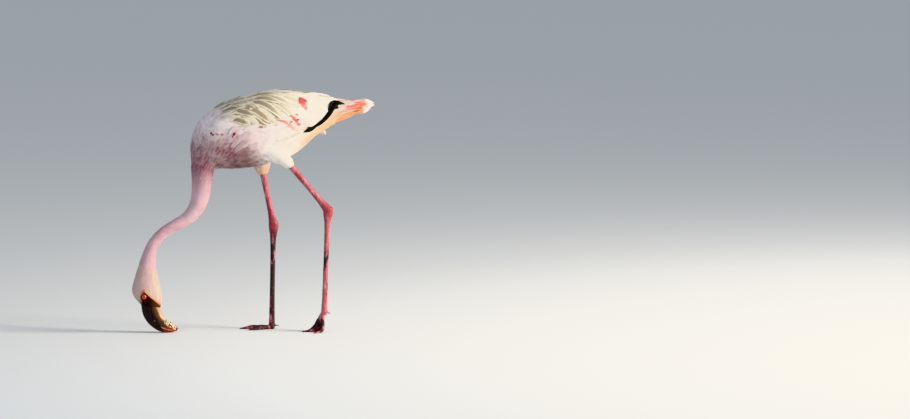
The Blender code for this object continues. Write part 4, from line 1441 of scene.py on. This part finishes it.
def buildTailFeathers():
    low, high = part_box("tail")
    surface = surfaceTree(weldedNodes(["tail", "trunk"]))
    rows, wide, most = (quillSettings[name] for name in ("rows", "castWidth", "axisShare"))
    start = Vector((low.x - 0.012, bodyY, low.z + 0.52 * (high.z - low.z) - 0.004))
    end = Vector((high.x, bodyY, high.z - 0.021))
    chance = np.random.default_rng(quillSettings["tailSeed"])
    paths = []
    for begin, stop, count, width, sink in quillSettings["tailLayers"]:
        for k in range(count):
            angle = 2 * math.pi * (k + 0.5 * (begin > 0.1)) / count
            spread = Vector((0, math.sin(angle), math.cos(angle)))
            shift, late = chance.uniform(-0.05, 0.03), chance.uniform(-0.06, 0.06)
            points, normals = [], []
            for step in range(rows + 1):
                share = begin + shift + (stop + late - begin) * step / rows
                centre = start.lerp(end, min(share, most))
                hit, normal, _, _ = surface.ray_cast(centre + spread * wide, -spread, wide)
                if hit is None:
                    hit, normal = centre + spread * 0.003, spread
                beyond = max(share - most, 0.0) * (end - start).length
                points.append(hit - normal * (sink * (1 - 0.75 * step / rows)) + Vector((beyond, 0, 0)))
                normals.append(normal)
            widths = [width * chance.uniform(0.85, 1.1)] * len(points)
            paths.append((points, normals, widths, chance.uniform(0.0, 1.0)))
    placePiece(newObject("tailFeathers", bladeGrid(paths), tailMaterial()), "tail_plumage")


def alongCurve(corners, at):
    # a smooth way through the four places; at runs from 0 to 3
    k = min(int(at), 2)
    before, after = corners[max(k - 1, 0)], corners[min(k + 2, 3)]
    t = at - k
    return (corners[k] * (2 - 5 * t * t + 3 * t**3) + corners[k + 1] * (t + 4 * t * t - 3 * t**3)
            + before * (-t + 2 * t * t - t**3) + after * (t**3 - t * t)) / 2


def blackCore(name, side):
    # the closed core of the folded feathers, under the blades
    core, places, _ = remeshed([name], quillSettings["coreVoxel"], 4)
    places -= readVectors(core.vertices, "normal") * quillSettings["coreSink"] * 0.5
    places[:, 1] -= side * quillSettings["coreSink"]
    setPlaces(core, places)
    return core


def buildPrimaries():
    finish = blackMaterial()
    rows = quillSettings["rows"]
    for hand, side in (("left", -1), ("right", 1)):
        name = "primaries_" + hand
        surface = surfaceTree(weldedNodes(["trunk", "tail", "wing_" + hand, name]))
        paths = []
        for number, (*corners, width) in enumerate(quillSettings["blackBlades"]):
            corners = [Vector((x, 0, z)) for x, z in corners]
            points, normals = [], []
            for step in range(rows + 1):
                place = alongCurve(corners, 3 * step / rows)
                start = Vector((place.x, bodyY + side * castReach, place.z))
                near, normal, _, _ = surface.ray_cast(start, Vector((0, -side, 0)))
                if near is None:
                    near, normal, _, _ = surface.find_nearest(Vector((place.x, bodyY + side * 0.02, place.z)))
                points.append(near + normal * (0.0002 + 0.00018 * number))
                normals.append(Vector((0, side, 0)).lerp(normal, 0.5).normalized())
            inner = [(a + b * 2 + c) / 4 for a, b, c in zip(points, points[1:], points[2:])]
            widths = width * (0.38 + 0.62 * ramp(np.arange(rows + 1) / rows, 0.15, 0.60))
            paths.append(([points[0], *inner, points[-1]], normals, widths.tolist(), 0.5))
        mesh = bladeGrid(paths)
        with editing(mesh) as shape:
            shape.from_mesh(blackCore(name, side))
        mesh.shade_smooth()
        placePiece(newObject("blackFeathers" + hand.title(), mesh, finish), "flight_feathers", name)


buildTailFeathers()
buildVentTuft()
buildPrimaries()
print("quills: tail and flight feathers laid")


# ---- bill

billSettings = {
    "voxel": 0.00062,
    "relaxSteps": 14,
    "horn": tint(40, 10, 12),
    "hornDark": tint(10, 5, 6),
    # the next two, brown and tan, are painted sunlight on the lower mandible's outer side
    "lowerBrown": tint(110, 68, 40),
    "tan": tint(206, 164, 118),
    "tipRed": tint(146, 44, 34),
    "tipDark": tint(46, 14, 14),
    # pale horn of the lamellae, also used for the painted glints on wet horn
    "lamellaAndGlint": tint(246, 236, 184),
    "lamellaDark": tint(206, 178, 120),
    # inner border of the strip of painted sunlight
    "sunlitTanStart": ((-0.1965, 0.0614), (-0.1812, 0.0250)),  # inner border of the pale strip, x and z
    "nostril": (-0.2105, 0.0440),  # x and z of the middle
    "nostrilSize": (0.0011, 0.0048),
    "nostrilDepth": 0.0016,
    "nostrilRim": 0.0003,
    # size of the painted glints
    "glintSize": 0.0027,
    "lamellaCount": 30,
    "lamellaSize": (0.0007, 0.0011, 0.0021),
    "lamellaSpan": (-0.1830, -0.1530),  # lowest and highest x of the row
    "lamellaWay": (-0.35, 0.0, 1.0),
    "gapeScan": (160, 90),  # places looked at along the bill, and up it
    "gapeMost": 0.0022,
}


def billMaterial():
    material, shader, place = newMaterial("billHorn", 0.3, specular=0.4, coat=0.20, coatRoughness=0.18)
    x, _, z = splitOf(place)
    cloud = noiseOf(place, 120.0, 4.0)
    colour = mixOf(rampOf(cloud, 0.3, 0.7), billSettings["hornDark"], billSettings["horn"])
    under = fieldOf(place.tree, "under")
    # lower mandible: dark by the gape, brown, then a tan outer edge that fades towards the tip, painted as
    # sunlight on its outer side
    inner = besideLine(x, z, *billSettings["sunlitTanStart"])
    browned = under * rampOf(inner + cloud * 0.003, -0.0095, -0.0020)
    colour = mixOf(browned * rampOf(z, 0.020, 0.034, 0.35, 0.85), colour, billSettings["lowerBrown"])
    sunlitTanned = under * rampOf(inner + cloud * 0.002, -0.0012, 0.0028)
    colour = mixOf(sunlitTanned * rampOf(z, 0.021, 0.034), colour, billSettings["tan"])
    # red near the tip, and a dark very end
    reddened = rampOf(z + (x + 0.1700) * -0.10 + cloud * 0.008, 0.0200, 0.0140)
    reddened = reddened * rampOf(x, -0.1850, -0.1740) * rampOf(cloud, 0.25, 0.60, 0.75, 1.0)
    colour = mixOf(reddened, colour, billSettings["tipRed"])
    colour = mixOf(rampOf(x, -0.1540, -0.1490) * 0.6, colour, billSettings["tipDark"])
    # painted glints: pale flecks that stand for highlights on wet horn, on the outer edge of the lower
    # mandible, near its tip
    edge = z + (x + 0.1768) * 0.67
    inputs = {"Vector": place, "Scale": 1 / billSettings["glintSize"]}
    cells = wired(place.tree, "ShaderNodeTexVoronoi", inputs, "Distance")
    paintedGlints = rampOf(cells, 0.56, 0.44) * (under * rampOf(edge, 0.0170, 0.0205))
    paintedGlints = paintedGlints * (rampOf(x, -0.1790, -0.1750) * rampOf(x, -0.1520, -0.1550))
    colour = mixOf(paintedGlints * 0.9, colour, billSettings["lamellaAndGlint"])
    grain = noiseOf(place, 700.0, 4.0, 0.6, (0.4, 1.0, 0.4))
    paint(shader, colour, grain * 0.4 + paintedGlints, 0.6, 0.0003)
    link(rampOf(cloud, 0.3, 0.7, 0.26, 0.44), shader.inputs["Roughness"])
    return material


def sinkNostril(places):
    middleX, middleZ = billSettings["nostril"]
    wide, long = billSettings["nostrilSize"]
    x, z = places[:, 0] - middleX, places[:, 2] - middleZ
    slit = np.hypot((x * 0.95 + z * 0.30) / wide, (z * 0.95 - x * 0.30) / long)
    sunk = fall(slit, 0.35, 1.0) * billSettings["nostrilDepth"]
    rim = ramp(slit, 0.8, 1.1) * fall(slit, 1.2, 1.7) * billSettings["nostrilRim"]
    places[:, 1] -= np.sign(places[:, 1] - bodyY) * (sunk - rim)


def buildBill():
    finish = billMaterial()
    for node, name, under in (("bill_upper", "billUpper", 0.0), ("bill_lower", "billLower", 1.0)):
        mesh, places, _ = remeshed([node], billSettings["voxel"], billSettings["relaxSteps"])
        if node == "bill_upper":
            sinkNostril(places)
        places[:, 2] = np.maximum(places[:, 2], 0.0)
        setPlaces(mesh, places)
        writeField(mesh, "under", np.full(len(places), under))
        mesh.shade_smooth()
        placePiece(newObject(name, mesh, finish), "bill_horn", node)
        print("bill:", name, len(mesh.polygons), "faces")


def gapePoints(side):
    # places where the two mandibles meet, on one side
    upper, lower = (surfaceTree(weldedNodes([node])) for node in bills)
    low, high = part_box("bill_lower")
    columns, rows = billSettings["gapeScan"]
    found = []
    for x in (low.x + (high.x - low.x) * k / (columns - 1) for k in range(columns)):
        best = None
        for z in (low.z + (high.z - low.z) * j / (rows - 1) for j in range(rows)):
            start = Vector((x, bodyY + side * 0.05, z))
            hit, normal, _, _ = lower.ray_cast(start, Vector((0, -side, 0)), 0.06)
            if hit is None:
                continue
            gap = upper.find_nearest(hit)[3]
            if best is None or gap < best[0]:
                best = (gap, hit, normal)
        if best is not None and best[0] < billSettings["gapeMost"]:
            found.append(best[1:])
    return found


def buildLamellaTree():
    # small plates along a line of points, each turned by its own normal
    inputs = {"Geometry": "Geometry", "Plate Size": "Vector", "Finish": "Material"}
    tree, given = newGroup("Geometry", "layLamellae", inputs, {"Geometry": "Geometry"})
    points = wired(tree, "GeometryNodeMeshToPoints", [given["Geometry"]])
    plate = wired(tree, "GeometryNodeMeshIcoSphere", {"Radius": 0.5, "Subdivisions": 2}, "Mesh")
    way = attributeOf(tree, "way", "FLOAT_VECTOR")
    turn = wired(tree, "FunctionNodeAlignRotationToVector", {"Vector": way}, axis="Z")
    inputs = {"Points": points, "Instance": plate, "Scale": given["Plate Size"], "Rotation": turn}
    real = wired(tree, "GeometryNodeRealizeInstances", [wired(tree, "GeometryNodeInstanceOnPoints", inputs)])
    return endTree(real, given["Finish"])


def buildLamellae():
    places = []
    count = billSettings["lamellaCount"]
    first, last = billSettings["lamellaSpan"]
    for side in (-1, 1):
        line = [(point, normal) for point, normal in gapePoints(side) if first < point.x < last]
        for k in range(count):
            point, normal = line[int(k * (len(line) - 1) / (count - 1))]
            places.append(point - normal * 0.0004)
    mesh = newMesh("lamellae", places)
    writeField(mesh, "way", np.array([billSettings["lamellaWay"]] * len(places)))
    row = newObject("billLamellae", mesh)
    colours = (billSettings["lamellaAndGlint"], billSettings["lamellaDark"])
    finish = speckled("lamellae", 0.25, 1100.0, colours, 0.3, specular=0.5, coat=0.3, coatRoughness=0.15)
    made = runNodes(row, buildLamellaTree(), {"Plate Size": billSettings["lamellaSize"], "Finish": finish})
    made.shade_smooth()
    placePiece(row, "bill_horn")
    print("bill:", len(places), "lamellae")


buildBill()
buildLamellae()


# ---- claws

clawSettings = {
    "length": 0.0048,
    "radius": 0.0015,
    "curl": 0.35,
    "rings": 6,
    "around": 10,
    "hindSize": 0.6,
    "ankleDepth": 0.004,  # the foot's reach is measured from this far below its top
    "endReach": 0.012,  # what lies this near to a tip gives its toe's way
    "leastReach": 0.03,  # from the ankle to the tip of a front toe, over the skin
    "leastGap": 0.018,
    "colours": (tint(34, 22, 22), tint(84, 48, 44)),
}


def toeTips(name):
    # the ends of a foot's toes, with the way that each points and the size of its claw
    places, edges = meshArrays(weldedNodes([name]))
    top = places[:, 2].max() - clawSettings["ankleDepth"]
    far = geodesic(places, edges, np.flatnonzero(places[:, 2] > top))
    isTip = far < 1e8
    for a, b in edges:
        if far[a] != far[b]:
            isTip[a if far[a] < far[b] else b] = False
    least = clawSettings["leastReach"]
    ends = sorted(np.flatnonzero(isTip & (far > least)), key=lambda k: -far[k])
    tips = []
    for k in [*ends, int(places[:, 0].argmax())]:  # the last is the small hind toe
        close = np.linalg.norm(places - places[k], axis=1)
        isBehind = (close < clawSettings["endReach"]) & (far < far[k] - min(0.003, 0.3 * far[k]))
        isTaken = any(np.linalg.norm(places[k] - tip[0]) < clawSettings["leastGap"] for tip in tips)
        if isBehind.any() and not isTaken:
            way = Vector(places[k] - places[isBehind].mean(axis=0)).normalized()
            tips.append((Vector(places[k]), way, 1.0 if far[k] > least else clawSettings["hindSize"]))
    return tips


def addClaw(shape, tip, along, size):
    length = clawSettings["length"] * size
    down = Vector((0, 0, -1)) - along * along.dot(Vector((0, 0, -1)))
    down = down.normalized() if down.length > 0.2 else Vector((1, 0, 0))
    aside = along.cross(down)
    rings = []
    for k in range(clawSettings["rings"]):
        share = k / (clawSettings["rings"] - 1)
        centre = tip + along * length * (share - 0.55)
        centre += down * length * clawSettings["curl"] * (share**2 - 0.35)
        radius = clawSettings["radius"] * size * (1 - share) ** 0.6 + 0.00008
        ring = []
        for c, s in circle(clawSettings["around"]):
            place = centre + (aside * c * 0.8 + down * s) * radius
            place.z = max(place.z, 0.0002)
            ring.append(shape.verts.new(place))
        rings.append(ring)
    joinRings(shape, rings)
    for ring in (rings[0], rings[-1]):
        shape.faces.new(ring)


def buildClaws():
    tips = [tip for name in ("foot_left", "foot_right") for tip in toeTips(name)]
    mesh = bpy.data.meshes.new("claws")
    with editing(mesh) as shape:
        for tip, way, size in tips:
            addClaw(shape, tip, way, size)
        bmesh.ops.recalc_face_normals(shape, faces=shape.faces)
    mesh.shade_smooth()
    horn = speckled("clawHorn", 0.35, 500.0, clawSettings["colours"], 0.4, specular=0.5)
    placePiece(newObject("claws", mesh, horn), "bill_horn")
    print("claws:", len(tips))


buildClaws()


# ---- eyes

eyeSettings = {
    "iris": tint(206, 48, 16),
    "irisPale": tint(232, 92, 30),
    "irisEdge": tint(96, 14, 10),
    "pupil": tint(6, 4, 4),
    "pupilRadius": 0.0017,
    "edgeRadius": 0.0038,  # where the iris starts to darken, and where it ends
    "irisRadius": 0.0047,
    "corneaBulge": 0.0016,
    "corneaFrom": 0.80,  # share of the radius where the bulge starts
    "ballSegments": (48, 32),
    "gaze": (-0.10, 0, 0.12),  # turned a little forwards and up from straight aside
    "lidColours": (tint(110, 24, 20), tint(52, 14, 14)),
    "lidRadius": 0.0046,
    "lidThickness": 0.0007,
    "lidFolds": 9,
    "lidHeight": 0.90,  # the opening's height as a share of its width
    "lidBreadth": 1.35,  # the fold's breadth as a share of its thickness
    "lidAround": 48,
    "lidAcross": 12,
}


def eyeMaterial(name, centre, way):
    material, shader, place = newMaterial(name, 0.12, coat=1.0, coatRoughness=0.03, specular=0.6)
    offAxis = vectorOf("CROSS_PRODUCT", vectorOf("SUBTRACT", place, centre), way)
    distance = vectorOf("LENGTH", offAxis)
    iris = mixOf(rampOf(noiseOf(place, 900.0, 4.0), 0.3, 0.7), eyeSettings["iris"], eyeSettings["irisPale"])
    dark = rampOf(distance, eyeSettings["edgeRadius"], eyeSettings["irisRadius"])
    iris = mixOf(dark, iris, eyeSettings["irisEdge"])
    radius = eyeSettings["pupilRadius"]
    pupil = rampOf(distance, radius * 0.9, radius * 1.1, 1.0, 0.0)
    paint(shader, mixOf(pupil, iris, eyeSettings["pupil"]))
    return material


def buildEyeball(name, radius, turn):
    mesh = bpy.data.meshes.new(name)
    with editing(mesh) as ball:
        across, along = eyeSettings["ballSegments"]
        bmesh.ops.create_uvsphere(ball, u_segments=across, v_segments=along, radius=radius)
        for vert in ball.verts:
            rise = max(vert.co.z / radius - eyeSettings["corneaFrom"], 0)
            vert.co.z += rise * eyeSettings["corneaBulge"]
        ball.transform(turn)
    mesh.shade_smooth()
    return mesh


def buildLid(name, radius, turn):
    # a ring of folded skin round the eyeball
    around, wide = eyeSettings["lidAround"], eyeSettings["lidRadius"]
    depth = Vector((0, 0, math.sqrt(max(radius**2 - wide**2, 0)) - 0.0001))
    mesh = bpy.data.meshes.new(name)
    with editing(mesh) as lid:
        rings = []
        for j in range(around):
            angle = 2 * math.pi * j / around
            out = Vector((math.cos(angle), math.sin(angle) * eyeSettings["lidHeight"], 0))
            middle = out * (wide + 0.0004) + depth
            fat = eyeSettings["lidThickness"] * (1 + 0.15 * math.sin(angle * eyeSettings["lidFolds"]))
            ring = []
            for c, s in circle(eyeSettings["lidAcross"]):
                away = out * c * eyeSettings["lidBreadth"] + Vector((0, 0, s))
                ring.append(lid.verts.new(middle + away * fat))
            rings.append(ring)
        joinRings(lid, rings, closed=True)
        bmesh.ops.recalc_face_normals(lid, faces=lid.faces)
        lid.transform(turn)
    mesh.shade_smooth()
    return mesh


def buildEyes():
    lidFinish = speckled("eyelid", 0.5, 1200.0, eyeSettings["lidColours"], 0.6, 0.0003)
    for node, name in (("eye_left", "eyeLeft"), ("eye_right", "eyeRight")):
        low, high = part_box(node)
        centre, radius = (low + high) / 2, (high.z - low.z) / 2
        aside = Vector((0, -1 if centre.y < bodyY else 1, 0))
        way = (aside + Vector(eyeSettings["gaze"])).normalized()
        turn = Matrix.Translation(centre) @ way.to_track_quat("Z", "Y").to_matrix().to_4x4()
        finish = eyeMaterial(name + "Wet", centre, way)
        placePiece(newObject(name, buildEyeball(name, radius, turn), finish), "eye", node)
        placePiece(newObject(name + "Lid", buildLid(name + "Lid", radius, turn), lidFinish), "bill_horn")


buildEyes()
print("eyes: placed")


# ---- floor, light and camera

studio = {
    "floor": tint(232, 234, 234),
    "world": (0.86, 0.92, 1.0, 1.0),
    "worldStrength": 0.50,
    # place, height that it aims at, size, power and colour of each light
    "lights": {
        "keyLight": ((2.3, -0.9, 1.15), 0.3, 1.0, 110.0, (1.0, 0.90, 0.76)),
        "fillLight": ((-1.6, -1.8, 1.1), 0.25, 1.8, 9.0, (0.66, 0.80, 1.0)),
    },
    "viewAzimuth": -8.0,
    "viewElevation": 6.0,
    "distance": 12.0,
    "frameWidth": 1.82,  # metres across the whole picture at the bird
    "middle": -0.0022,  # x of the bird's middle
    "sideways": 0.408,  # from the bird's middle to the picture's middle
    "upwards": 0.243,
}


def addToScene(name, data):
    made = bpy.data.objects.new(name, data)
    bpy.context.scene.collection.objects.link(made)
    return made


def buildStage():
    corners = [(-12, -8, 0), (12, -8, 0), (12, 14, 0), (-12, 14, 0)]
    material, shader, _ = newMaterial("floorPale", 0.85)
    paint(shader, studio["floor"])
    newObject("floor", newMesh("floor", corners, [(0, 1, 2, 3)]), material)
    world = bpy.data.worlds.new("studioWorld")
    bpy.context.scene.world = world
    bpy.context.scene.view_settings.view_transform = "Khronos PBR Neutral"
    world.use_nodes = True
    background = world.node_tree.nodes["Background"]
    background.inputs[0].default_value = studio["world"]
    background.inputs[1].default_value = studio["worldStrength"]


def addLight(name, place, height, size, power, colour):
    lamp = bpy.data.lights.new(name, "AREA")
    lamp.shape, lamp.size, lamp.energy, lamp.color = "SQUARE", size, power, colour
    made = addToScene(name, lamp)
    made.location = place
    made.rotation_euler = (Vector((0, 0, height)) - Vector(place)).to_track_quat("-Z", "Y").to_euler()


def buildCamera():
    azimuth, elevation = math.radians(studio["viewAzimuth"]), math.radians(studio["viewElevation"])
    back = Vector((math.sin(azimuth) * math.cos(elevation), -math.cos(azimuth) * math.cos(elevation),
                   math.sin(elevation)))
    right = Vector((math.cos(azimuth), math.sin(azimuth), 0))
    up = back.cross(right)
    camera = bpy.data.cameras.new("camera")
    camera.sensor_width = 36.0
    camera.lens = 36.0 * studio["distance"] / studio["frameWidth"]
    camera.clip_end = 100.0
    aim = Vector((studio["middle"], bodyY, 0)) + right * studio["sideways"] + up * studio["upwards"]
    turn = Matrix((right, up, back)).transposed().to_4x4()
    made = addToScene("camera", camera)
    made.matrix_world = Matrix.Translation(aim + back * studio["distance"]) @ turn
    bpy.context.scene.camera = made


buildStage()
for lightName, light in studio["lights"].items():
    addLight(lightName, *light)
buildCamera()
print("studio: ready")
